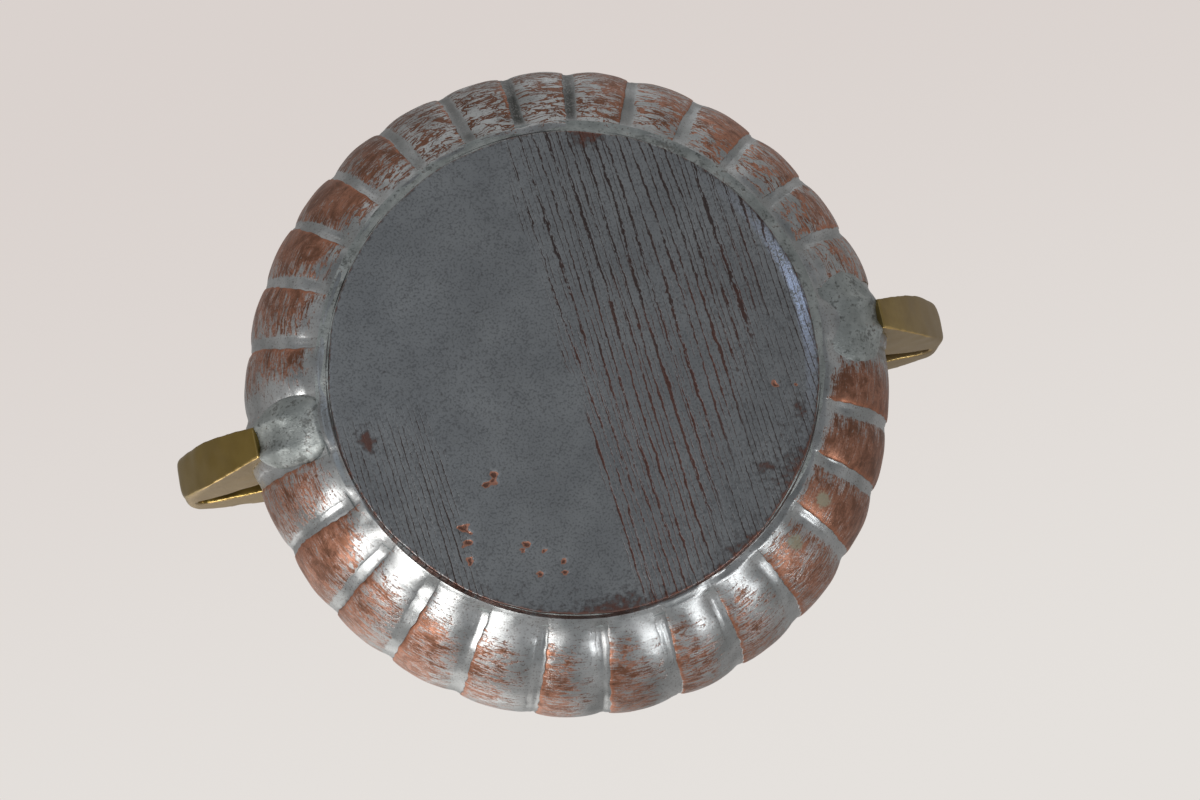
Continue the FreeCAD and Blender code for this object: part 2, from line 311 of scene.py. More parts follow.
class Tree:
    """A node tree that is filled from Python expressions."""

    def __init__(self, owner: bpy.types.Material | bpy.types.World) -> None:
        """Takes the tree of a material or a world and empties it.

        Args:
            owner: The material or world.
        """
        owner.use_nodes = True
        self.nodes = owner.node_tree
        self.nodes.nodes.clear()

    def add(self, kind: str, settings: dict[str, Any], sockets: dict[str | int, Any], out: str | int = 0) -> Value:
        """Adds one node.

        Args:
            kind: The node's type.
            settings: Its settings, which are set first; "stops" are a ramp's places and colours.
            sockets: The values or links of its sockets, by name or number.
            out: The output that is wanted.

        Returns:
            The value at that output.
        """
        node = self.nodes.nodes.new(kind)
        for name, setting in settings.items():
            if name == "stops":
                self._set_stops(node.color_ramp, setting)
            else:
                setattr(node, name, setting)
        for name, value in sockets.items():
            if isinstance(value, Value):
                self.nodes.links.new(value.socket, node.inputs[name])
            else:
                node.inputs[name].default_value = value
        return Value(self, node.outputs[out] if len(node.outputs) else node.inputs[0])

    @staticmethod
    def _set_stops(ramp: bpy.types.ColorRamp, stops: Sequence[tuple[float, Colour]]) -> None:
        """Gives a ramp its stops.

        Args:
            ramp: The ramp.
            stops: Places from 0 to 1 and their colours.
        """
        while len(ramp.elements) < len(stops):
            ramp.elements.new(1.0)
        for element, (place, colour) in zip(ramp.elements, stops):
            element.position = place
            element.color = (*colour, 1.0)

    def place(self) -> Value:
        """The place on the object, in metres."""
        return self.add("ShaderNodeTexCoord", {}, {}, "Object")

    def mark(self, mark: Mark, out: str = "Fac") -> Value:
        """What the mesh says at a point."""
        return self.add("ShaderNodeAttribute", {"attribute_name": mark.value}, {}, out)

    def noise(self, where: Value, detail: float = 3.0, rough: float = 0.55, warp: float = 0.0) -> Value:
        """Noise with features about one unit apart.

        Args:
            where: The place, already scaled.
            detail: How many finer layers it has.
            rough: How strong they are.
            warp: How much it is distorted.

        Returns:
            A value around one half.
        """
        sockets = {"Vector": where, "Scale": 1.0, "Detail": detail, "Roughness": rough, "Distortion": warp}
        return self.add("ShaderNodeTexNoise", {}, sockets)

    def grain(self, where: Value, size: float, detail: float = 3.0) -> Value:
        """Even noise with features of a size in metres."""
        return self.noise(where.sized(size, size, size), detail)

    def mix(self, share: Value | float, first: Value | Colour, second: Value | Colour) -> Value:
        """A colour between two others.

        Args:
            share: How much of the second there is.
            first: The colour at 0.
            second: The colour at 1.

        Returns:
            The mixed colour.
        """
        ends = [(*c, 1.0) if isinstance(c, tuple) else c for c in (first, second)]
        return self.add("ShaderNodeMix", {"data_type": "RGBA"}, {0: share, 6: ends[0], 7: ends[1]}, 2)

    def bump(self, height: Value, depth: float, below: Value | None = None) -> Value:
        """A bumped normal.

        Args:
            height: The height, from 0 to 1.
            depth: What 1 stands for, in metres.
            below: A bumped normal that this one lies on.

        Returns:
            The normal.
        """
        sockets: dict[str, Any] = {"Height": height, "Distance": depth, "Strength": 1.0}
        if below is not None:
            sockets["Normal"] = below
        return self.add("ShaderNodeBump", {}, sockets)


@dataclass(frozen=True)
class Finish:
    """A metal surface: a name and a way to fill its node tree."""

    name: str

    def surface(self, tree: Tree) -> dict[str, Any]:
        """The sockets of the surface's shader."""
        raise NotImplementedError

    def material(self) -> bpy.types.Material:
        """The finish as a material, made once.

        Returns:
            The material of that name.
        """
        known = bpy.data.materials.get(self.name)
        if known:
            return known
        made = bpy.data.materials.new(self.name)
        tree = Tree(made)
        shader = tree.add("ShaderNodeBsdfPrincipled", {}, self.surface(tree))
        tree.add("ShaderNodeOutputMaterial", {}, {"Surface": shader})
        return made


@dataclass(frozen=True)
class WornTin(Finish):
    """Tin over copper, worn off the raised parts in short streaks."""

    tin: Colour = linear(189, 191, 191)
    tin_dull: Colour = linear(158, 161, 161)
    copper: Colour = linear(192, 138, 114)
    copper_brown: Colour = linear(140, 98, 78)
    copper_fresh: Colour = linear(188, 124, 94)
    copper_dark: Colour = linear(108, 78, 64)
    dirt: Colour = linear(90, 70, 60)
    dark_in_grooves: Colour = linear(54, 54, 50)
    verdigris: Colour = linear(158, 161, 140)
    streak: tuple[float, float] = (4.6 * MM, 0.45 * MM)
    scratch: tuple[float, float] = (9.0 * MM, 0.3 * MM)
    crack: tuple[float, float] = (5.0 * MM, 1.5 * MM)
    patch: tuple[float, float] = (4.2 * MM, 4.2 * MM / 1.3)

    def surface(self, tree: Tree) -> dict[str, Any]:
        """Tin where the cover and the streaks add up, and copper elsewhere.

        Args:
            tree: The finish's node tree.

        Returns:
            The values of its shader's sockets.
        """
        place = tree.place()
        sheet = tree.mark(Mark.SHEET, "Vector")
        streaks = tree.noise(sheet.sized(*self.streak), 4.0, 0.65, 1.2)
        patches = tree.noise(sheet.sized(*self.patch), 5.0, 0.62, 0.8)
        scratches = tree.noise(sheet.sized(*self.scratch, 1 / 2), 2.0, 0.5, 0.3).step(0.64, 0.72)
        bends = tree.noise(sheet.sized(*self.crack, 1 / 3), 4.0, 0.6, 0.7)
        cracks = (1 - abs(bends - 0.5).step(0.012, 0.06)) * tree.mark(Mark.CRACK)
        specks = tree.grain(place, 0.35 * MM, 3.0)
        edge = tree.mark(Mark.EDGE) * patches.step(0.3, 0.55)
        cover = tree.mark(Mark.COVER) + (patches - 0.5) * 1.2 + (streaks - 0.5) * 1.9 - edge * 0.3
        cover = cover + (specks - 0.5) * 0.7 + scratches * 0.4 - cracks
        tinned = cover.step(-0.26, 0.3)

        cloud = tree.grain(place, 7.0 * MM)
        tin = tree.mix(cloud.step(0.35, 0.65), self.tin_dull, self.tin)
        tin = tree.mix((1 - (specks * 0.8 + streaks * 0.2).step(0.35, 0.47)) * 0.5, tin, self.dirt)
        copper = tree.mix(patches.step(0.34, 0.58), self.copper_brown, self.copper)
        copper = tree.mix(tree.mark(Mark.DARK), copper, self.copper_dark)
        copper = tree.mix((1 - (streaks * 0.6 + specks * 0.4).step(0.36, 0.52)) * 0.6, copper, self.dirt)
        copper = tree.mix(edge * 0.4, copper, self.copper_fresh)
        colour = tree.mix(tinned, copper, tin)
        colour = tree.mix(tree.mark(Mark.STAIN) * specks.step(0.2, 0.52), colour, self.dark_in_grooves)
        spot = tree.mark(Mark.PIT)
        crust = spot * 1.2 + (patches - 0.5) * 1.5 + (streaks - 0.5) * 0.8 + (specks - 0.5) * 0.8
        crust = crust.step(0.42, 0.8) * spot.step(0.04, 0.2) * 0.7
        colour = tree.mix(crust, colour, self.verdigris)

        shine = 0.44 - tinned * 0.08 + (cloud - 0.5) * 0.2 + (streaks - 0.5) * 0.14 + crust * 0.25
        normal = tree.bump(tree.grain(place, 4.5 * MM, 2.0), 0.1 * MM)
        normal = tree.bump(tinned * 0.5 + streaks * 0.3 + specks * 0.3, 0.045 * MM, normal)
        return {"Base Color": colour, "Metallic": 1 - crust * 0.6, "Roughness": shine, "Normal": normal}


@dataclass(frozen=True)
class FiledPlate(Finish):
    """Dull tin on the base plate, with file lines down to the copper, pits, stains and a painted bluish sky
    reflection near the edge.
    """

    tin: Colour = linear(172, 175, 176)
    tin_dark: Colour = linear(152, 155, 157)
    mottle: Colour = linear(112, 113, 114)
    line_brown: Colour = linear(104, 66, 55)
    line_dark: Colour = linear(70, 56, 52)
    copper: Colour = linear(212, 146, 118)
    rust: Colour = linear(128, 82, 66)
    # Painted reflection: the pale blue of a sky glint, painted on a strip near the edge.
    painted_sky_reflection: Colour = linear(198, 208, 230)
    slant: float = math.radians(5.0)
    line_gap: float = 2.05 * MM

    @staticmethod
    def lines(tree: Tree, filed: Value, gap: float, thick: float) -> Value:
        """Long nearly parallel lines, ragged and broken.

        Args:
            tree: The node tree.
            filed: The place, turned so that the lines run along Y.
            gap: How far apart they lie.
            thick: How thick the strongest are.

        Returns:
            1 on the lines and 0 between them.
        """
        wander = tree.noise(filed.sized(9 * MM, 70 * MM), 2.0, 0.5)
        shake = tree.noise(filed.sized(1.6 * MM, 3 * MM), 3.0, 0.6)
        phase = filed.part("X") * (1 / gap) + (wander - 0.5) * 2.2 + (shake - 0.5) * 0.5
        number = phase.whole()
        strength = tree.add("ShaderNodeTexWhiteNoise", {"noise_dimensions": "1D"}, {"W": number})
        apart = abs(phase - number - 0.5) * gap
        ragged = tree.noise(filed.sized(0.35 * MM, 0.9 * MM), 3.0, 0.7)
        broken = tree.noise(filed.sized(1.1 * gap, 8 * MM), 4.0, 0.65)
        reach = thick * (0.4 + strength * 0.5) + (ragged - 0.5) * (3.0 * thick) + (broken - 0.5) * (3.4 * thick)
        return (reach - apart).step(-0.5 * thick, 0.5 * thick)

    def surface(self, tree: Tree) -> dict[str, Any]:
        """Mottled tin with two fields of lines, copper rings round the pits, brown stains and a painted sky
        reflection near the edge.

        Args:
            tree: The finish's node tree.

        Returns:
            The values of its shader's sockets.
        """
        place = tree.place()
        turn = {"Vector": place, "Rotation": (0.0, 0.0, self.slant)}
        filed = tree.add("ShaderNodeMapping", {}, turn)
        across = filed.part("X") + (tree.grain(place, 14 * MM) - 0.5) * (7 * MM)
        along = filed.part("Y")
        main_field = (1 - across.step(0 * MM, 2 * MM)) * (across + along * 0.57).step(-38 * MM, -28 * MM)
        side_field = across.step(25 * MM, 28 * MM) * (1 - along.step(-4 * MM, 6 * MM))
        strong = self.lines(tree, filed, self.line_gap, 0.22 * MM)
        faint = self.lines(tree, filed, self.line_gap * 0.47, 0.1 * MM)
        right_field = (1 - across.step(-2 * MM, 2 * MM)) * (1 - main_field)
        aside = (strong * 0.3 + faint * 0.8) * side_field + (strong * 0.3 + faint * 0.7) * right_field
        scratched = (strong + faint * 0.7) * main_field + aside

        speck = tree.grain(place, 0.4 * MM, 4.0)
        cloud = tree.grain(place, 12 * MM)
        haze = tree.grain(place, 3 * MM, 4.0)
        tin = tree.mix(cloud.step(0.15, 0.85), self.tin_dark, self.tin)
        tin = tree.mix((1 - (speck * 0.86 + haze * 0.14).step(0.38, 0.52)) * 0.55, tin, self.mottle)
        # Painted reflection: a speckled bluish strip where the sky patch would glint, also a little smoother.
        painted_sky_reflection = tree.mark(Mark.EDGE) * (speck * 0.6 + haze * 0.4).step(0.4, 0.54)
        tin = tree.mix(painted_sky_reflection, tin, self.painted_sky_reflection)
        red = (along * (1 / (40 * MM)) + tree.grain(place, 6 * MM) * 1.6 - 0.7).step(-0.2, 0.7)
        line = tree.mix(1 - (1 - red) * main_field, self.line_brown, self.line_dark)
        colour = tree.mix(scratched.step(0.05, 0.9) * 0.9, tin, line)
        pit = tree.mark(Mark.PIT) + (tree.grain(place, 0.8 * MM) - 0.5) * 0.9
        colour = tree.mix(pit.step(0.25, 0.45) * 0.85, colour, self.copper)
        colour = tree.mix(pit.step(0.6, 0.9) * 0.7, colour, self.line_dark)
        stain = tree.mark(Mark.STAIN) + (tree.grain(place, 1.3 * MM, 6.0) - 0.5) * 2.2
        colour = tree.mix(stain.step(0.2, 0.6) * 0.45, colour, self.line_dark)
        colour = tree.mix(stain.step(0.5, 1.0) * 0.7, colour, self.rust)

        shine = 0.4 + (cloud - 0.5) * 0.07 + scratched * 0.12 - painted_sky_reflection * 0.1
        normal = tree.bump(tree.grain(place, 9 * MM, 2.0), 0.1 * MM)
        normal = tree.bump(speck * 0.7 - scratched * 0.8, 0.05 * MM, normal)
        return {"Base Color": colour, "Metallic": 1.0, "Roughness": shine, "Normal": normal}


@dataclass(frozen=True)
class WipedSolder(Finish):
    """Wiped tin solder, smeared and scratched, with brown dirt in its hollows."""

    bright: Colour = linear(184, 189, 187)
    dull: Colour = linear(152, 157, 155)
    dirt: Colour = linear(128, 88, 68)
    pitted: Colour = linear(92, 93, 90)

    def surface(self, tree: Tree) -> dict[str, Any]:
        """Bright and dull smears, scrapes, grey crusts and pits.

        Args:
            tree: The finish's node tree.

        Returns:
            The values of its shader's sockets.
        """
        place = tree.place()
        smear = tree.noise(place.sized(4 * MM, 5 * MM, 3 * MM), 4.0, 0.6, 0.3)
        fine = tree.grain(place, 0.5 * MM)
        colour = tree.mix(smear.step(0.3, 0.7), self.dull, self.bright)
        colour = tree.mix((smear * 0.6 + fine * 0.4).step(0.57, 0.7) * 0.55, colour, self.dirt)
        crust = tree.grain(place, 2.6 * MM, 6.0)
        colour = tree.mix((crust + (fine - 0.5) * 0.45).step(0.53, 0.68) * 0.6, colour, self.pitted)
        scrape = tree.noise(place.sized(0.5 * MM, 0.3 * MM, 2.6 * MM), 3.0, 0.6, 0.4)
        colour = tree.mix((scrape * 0.5 + fine * 0.5).step(0.54, 0.64) * 0.55, colour, self.pitted)
        shine = 0.45 + (1 - smear) * 0.2 - (scrape - 0.5) * 0.2
        normal = tree.bump(tree.grain(place, 2.0 * MM, 4.0) - scrape * 0.5 - crust, 0.13 * MM)
        return {"Base Color": colour, "Metallic": 1.0, "Roughness": shine, "Normal": normal}


@dataclass(frozen=True)
class CastBrass(Finish):
    """Old brass: olive on its faces, rubbed bright at its edges and brushed on its sides; on the handles it also
    carries painted highlight on the edges facing -Y, painted light on the left handle's face and painted shade on the
    right handle.
    """

    olive: Colour = linear(172, 148, 88)
    deep: Colour = linear(140, 118, 62)
    brushed: Colour = linear(158, 138, 106)
    bright: Colour = linear(226, 192, 124)

    def surface(self, tree: Tree) -> dict[str, Any]:
        """Olive brass with brushed sides, bright edges, and the handles' painted highlight, painted light and painted
        shade.

        Args:
            tree: The finish's node tree.

        Returns:
            The values of its shader's sockets.
        """
        place = tree.place()
        cloud = tree.grain(place, 6 * MM)
        hair = tree.noise(place.sized(6 * MM, 0.3 * MM, 0.22 * MM), 3.0, 0.6)
        side = tree.mark(Mark.SIDE)
        edge = tree.mark(Mark.EDGE)
        # Painted shade: the dark mark pulls the right handle's faces towards the deep tone.
        colour = tree.mix(cloud.step(0.3, 0.7) * (1 - tree.mark(Mark.DARK)), self.deep, self.olive)
        # The side mark holds the brushed sides, and painted light spread over the left handle's outer face.
        colour = tree.mix(side * (0.55 + hair * 0.6), colour, self.brushed)
        # Bright edges: rubbed wear, and on the handles painted highlight on the edges facing -Y.
        colour = tree.mix(edge, colour, self.bright)
        specks = tree.grain(place, 0.4 * MM, 2.0)
        colour = tree.mix((1 - specks.step(0.28, 0.38)) * 0.5, colour, self.deep)
        shine = 0.33 + side * 0.14 - edge * 0.12 + (hair - 0.5) * 0.1
        normal = tree.bump(hair * side + cloud * 0.6, 0.05 * MM)
        return {"Base Color": colour, "Metallic": 1.0, "Roughness": shine, "Normal": normal}


@dataclass(frozen=True)
class DappledLid(Finish):
    """The lid: bright tin in the chased channels, dappled brown and copper on the petals."""

    tin: Colour = linear(196, 198, 195)
    olive: Colour = linear(118, 108, 82)
    brown: Colour = linear(96, 72, 52)
    copper: Colour = linear(150, 82, 62)
    fleck: Colour = linear(190, 160, 96)

    def surface(self, tree: Tree) -> dict[str, Any]:
        """Channels by the cover mark, and dapples between them.

        Args:
            tree: The finish's node tree.

        Returns:
            The values of its shader's sockets.
        """
        place = tree.place()
        sheet = tree.mark(Mark.SHEET, "Vector")
        dapple = tree.noise(place.sized(0.9 * MM, 0.9 * MM, 0.9 * MM), 4.0, 0.65)
        patches = tree.noise(sheet.sized(6 * MM, 6 * MM), 3.0, 0.6)
        cover = tree.mark(Mark.COVER) + (dapple - 0.5) * 1.1 + (patches - 0.5) * 0.7
        ground = tree.mix(patches.step(0.42, 0.62), self.olive, self.copper)
        ground = tree.mix(dapple.step(0.4, 0.6), self.brown, ground)
        ground = tree.mix(dapple.step(0.66, 0.74) * tree.mark(Mark.STAIN), ground, self.fleck)
        colour = tree.mix(cover.step(-0.12, 0.2), ground, self.tin)
        colour = tree.mix(tree.mark(Mark.EDGE) * 0.8, colour, self.copper)
        shine = 0.3 + (1 - cover.step(-0.1, 0.3)) * 0.12
        normal = tree.bump(dapple, 0.08 * MM)
        return {"Base Color": colour, "Metallic": 1.0, "Roughness": shine, "Normal": normal}


def put(piece: bpy.types.Object, finish: Finish, body: Body, nodes: Sequence[str]) -> None:
    """Dresses a piece and fits it into the frame.

    Args:
        piece: The new piece, in place.
        finish: Its finish.
        body: The body that it rides on.
        nodes: The CAD nodes that it stands for.
    """
    points, _ = points_of(piece.data)
    move_points(piece.data, np.clip(points, *CAD_BOX))
    piece.data.materials.clear()
    piece.data.materials.append(finish.material())
    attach(piece, body.value)
    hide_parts(*nodes)
    LOG.info("%s: %d points on %s", piece.name, len(piece.data.vertices), body.value)


def dress_node(node: str, finish: Finish) -> None:
    """Gives a CAD node that stays in view its finish.

    Args:
        node: The node's name.
        finish: Its finish.
    """
    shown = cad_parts[node]
    shown.data.materials.clear()
    shown.data.materials.append(finish.material())
    LOG.info("%s: CAD solid, dressed", node)


def new_piece(name: str, mesh: bpy.types.Mesh) -> bpy.types.Object:
    """Links a mesh into the scene as a piece.

    Args:
        name: The piece's name.
        mesh: Its mesh.

    Returns:
        The piece.
    """
    piece = bpy.data.objects.new(name, mesh)
    bpy.context.scene.collection.objects.link(piece)
    return piece


def write_marks(mesh: bpy.types.Mesh, marks: dict[Mark, np.ndarray]) -> None:
    """Stores marks on a mesh.

    Args:
        mesh: The mesh.
        marks: One number or vector per point, by mark.
    """
    for mark, values in marks.items():
        kind, field = ("FLOAT_VECTOR", "vector") if values.ndim == 2 else ("FLOAT", "value")
        stored = mesh.attributes.new(mark.value, kind, "POINT")
        stored.data.foreach_set(field, values.astype(np.float32).ravel())


def ring_piece(name: str, rings: np.ndarray, marks: dict[Mark, np.ndarray], loop: bool,
               crisp: float = math.radians(40)) -> bpy.types.Object:
    """A closed piece from rings of points about the axis.

    Args:
        name: The piece's name.
        rings: Points by ring, by place in the ring, anticlockwise from above.
        marks: Marks for the same points.
        loop: Whether the last ring joins the first; otherwise both ends are capped.
        crisp: The angle above which an edge stays sharp.

    Returns:
        The piece.
    """
    count, places = rings.shape[:2]
    index = np.arange(count * places).reshape(count, places)
    ahead = np.roll(index, -1, axis=1)
    if loop:
        low, high = np.arange(count), np.roll(np.arange(count), -1)
    else:
        low, high = np.arange(count - 1), np.arange(1, count)
    quads = np.stack([index[low], ahead[low], ahead[high], index[high]], axis=-1).reshape(-1, 4)
    faces = quads.tolist()
    points = rings.reshape(-1, 3)
    flat = {mark: values.reshape(count * places, *values.shape[2:]) for mark, values in marks.items()}
    if not loop:
        first, last = count * places, count * places + 1
        points = np.vstack([points, rings[0].mean(axis=0), rings[-1].mean(axis=0)])
        flat = {mark: np.concatenate([v, v[:1], v[-1:]]) for mark, v in flat.items()}
        faces += [[b, a, first] for a, b in zip(index[0].tolist(), ahead[0].tolist())]
        faces += [[a, b, last] for a, b in zip(index[-1].tolist(), ahead[-1].tolist())]
    mesh = bpy.data.meshes.new(name)
    mesh.from_pydata(points.tolist(), [], faces)
    mesh.shade_smooth()
    mesh.set_sharp_from_angle(angle=crisp)
    write_marks(mesh, flat)
    return new_piece(name, mesh)


def recast(node: str, name: str, grain: float, easing: int) -> bpy.types.Object:
    """A copy of a CAD node with an even, fine mesh and eased edges.

    Args:
        node: The node that is copied.
        name: The new piece's name.
        grain: The size of the new mesh's faces.
        easing: How many times it is smoothed.

    Returns:
        The piece.
    """
    piece = new_piece(name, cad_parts[node].data.copy())
    weld = piece.modifiers.new("weld", "WELD")
    weld.merge_threshold = 0.001 * MM
    remesh = piece.modifiers.new("grain", "REMESH")
    remesh.mode = "VOXEL"
    remesh.voxel_size = grain
    remesh.use_smooth_shade = True
    smooth = piece.modifiers.new("ease", "SMOOTH")
    smooth.iterations = easing
    view = bpy.context.evaluated_depsgraph_get()
    cast = bpy.data.meshes.new_from_object(piece.evaluated_get(view))
    rough = piece.data
    piece.modifiers.clear()
    piece.data = cast
    bpy.data.meshes.remove(rough)
    return piece


def points_of(mesh: bpy.types.Mesh) -> tuple[np.ndarray, np.ndarray]:
    """A mesh's points and normals.

    Args:
        mesh: The mesh.

    Returns:
        The points, and the normals at them.
    """
    points = np.empty(len(mesh.vertices) * 3)
    normals = np.empty(len(mesh.vertices) * 3)
    mesh.vertices.foreach_get("co", points)
    mesh.vertex_normals.foreach_get("vector", normals)
    return points.reshape(-1, 3), normals.reshape(-1, 3)


def move_points(mesh: bpy.types.Mesh, points: np.ndarray) -> None:
    """Puts a mesh's points at new places."""
    mesh.vertices.foreach_set("co", points.ravel())
    mesh.update()


def smoothed(mesh: bpy.types.Mesh, rounds: int) -> np.ndarray:
    """A mesh's points drawn towards their neighbours.

    Args:
        mesh: The mesh.
        rounds: How many times each point is moved half way to the middle of its neighbours.

    Returns:
        The moved points.
    """
    points, _ = points_of(mesh)
    ends = np.empty(len(mesh.edges) * 2, dtype=np.int32)
    mesh.edges.foreach_get("vertices", ends)
    one, other = ends[0::2], ends[1::2]
    count = np.bincount(ends, minlength=len(points))
    for _ in range(rounds):
        for axis in range(3):
            values = points[:, axis]
            total = np.bincount(one, values[other], len(points)) + np.bincount(other, values[one], len(points))
            points[:, axis] = 0.5 * values + 0.5 * total / count
    return points


def convexity(mesh: bpy.types.Mesh, rounds: int = 8) -> np.ndarray:
    """How far each point stands out from the smoothed surface around it.

    Args:
        mesh: The mesh.
        rounds: How many times the surface is smoothed.

    Returns:
        A length per point, above 0 on ridges and below 0 in hollows.
    """
    points, normals = points_of(mesh)
    return np.einsum("ij,ij->i", points - smoothed(mesh, rounds), normals)


@dataclass
class BellyArc:
    """An arc of the bowl's profile, upright at the belly."""

    belly_radius: float
    belly_height: float
    end_radius: float
    end_height: float

    def __post_init__(self) -> None:
        """Works out the arc's circle and length."""
        drop = self.end_height - self.belly_height
        gap = self.belly_radius - self.end_radius
        self.centre = (self.belly_radius ** 2 - self.end_radius ** 2 - drop ** 2) / (2 * gap)
        self.radius = self.belly_radius - self.centre
        self.end_angle = math.atan2(drop, self.end_radius - self.centre)
        self.length = abs(self.end_angle) * self.radius


@dataclass
class BowlProfile:
    """The bowl's outside over the crests of its lobes, from the base plate's edge up to the rim."""

    toe_radius: float = 43.9 * MM
    toe_height: float = 0.62 * MM
    bottom_radius: float = 45.4 * MM
    bottom_height: float = 1.0 * MM
    shoulder_radius: float = 48.2 * MM
    shoulder_height: float = 2.6 * MM
    belly_height: float = 21.0 * MM
    neck_radius: float = 48.6 * MM
    neck_foot: float = 42.5 * MM

    def __post_init__(self) -> None:
        """Takes the belly and the rim from the frame and measures the profile's stretches."""
        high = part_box("bowl_wall")[1]
        self.belly_radius = high.x
        self.rim_height = high.z
        self.lower = BellyArc(self.belly_radius, self.belly_height, self.shoulder_radius, self.shoulder_height)
        self.upper = BellyArc(self.belly_radius, self.belly_height, self.neck_radius, self.neck_foot)
        self.to_corner = math.hypot(self.bottom_radius - self.toe_radius, self.bottom_height - self.toe_height)
        self.to_shoulder = self.to_corner + math.hypot(self.shoulder_radius - self.bottom_radius,
                                                       self.shoulder_height - self.bottom_height)
        self.to_belly = self.to_shoulder + self.lower.length
        self.to_neck = self.to_belly + self.upper.length
        self.to_rim = self.to_neck + self.rim_height - self.neck_foot

    def at(self, along: np.ndarray) -> tuple[np.ndarray, np.ndarray, np.ndarray, np.ndarray]:
        """Places on the profile.

        Args:
            along: Lengths along it, from the plate's edge.

        Returns:
            The radius, the height, and the outward normal's parts away from the axis and up.
        """
        toe_lean = math.atan2(self.bottom_height - self.toe_height, self.bottom_radius - self.toe_radius)
        lean = math.atan2(self.shoulder_height - self.bottom_height, self.shoulder_radius - self.bottom_radius)
        low_turn = self.lower.end_angle + (along - self.to_shoulder) / self.lower.radius
        high_turn = (along - self.to_belly) / self.upper.radius
        stretch = [along < end for end in (self.to_corner, self.to_shoulder, self.to_belly, self.to_neck)]
        level = 0 * along - QUARTER_TURN
        past = along - self.to_corner
        turn = np.select(stretch, [level + toe_lean, level + lean, low_turn, high_turn], 0.0)
        radius = np.select(
            stretch,
            [self.toe_radius + along * math.cos(toe_lean),
             self.bottom_radius + past * math.cos(lean),
             self.lower.centre + self.lower.radius * np.cos(low_turn),
             self.upper.centre + self.upper.radius * np.cos(high_turn)],
            self.neck_radius)
        height = np.select(
            stretch,
            [self.toe_height + along * math.sin(toe_lean),
             self.bottom_height + past * math.sin(lean),
             self.belly_height + self.lower.radius * np.sin(low_turn),
             self.belly_height + self.upper.radius * np.sin(high_turn)],
            self.neck_foot + along - self.to_neck)
        return radius, height, np.cos(turn), np.sin(turn)


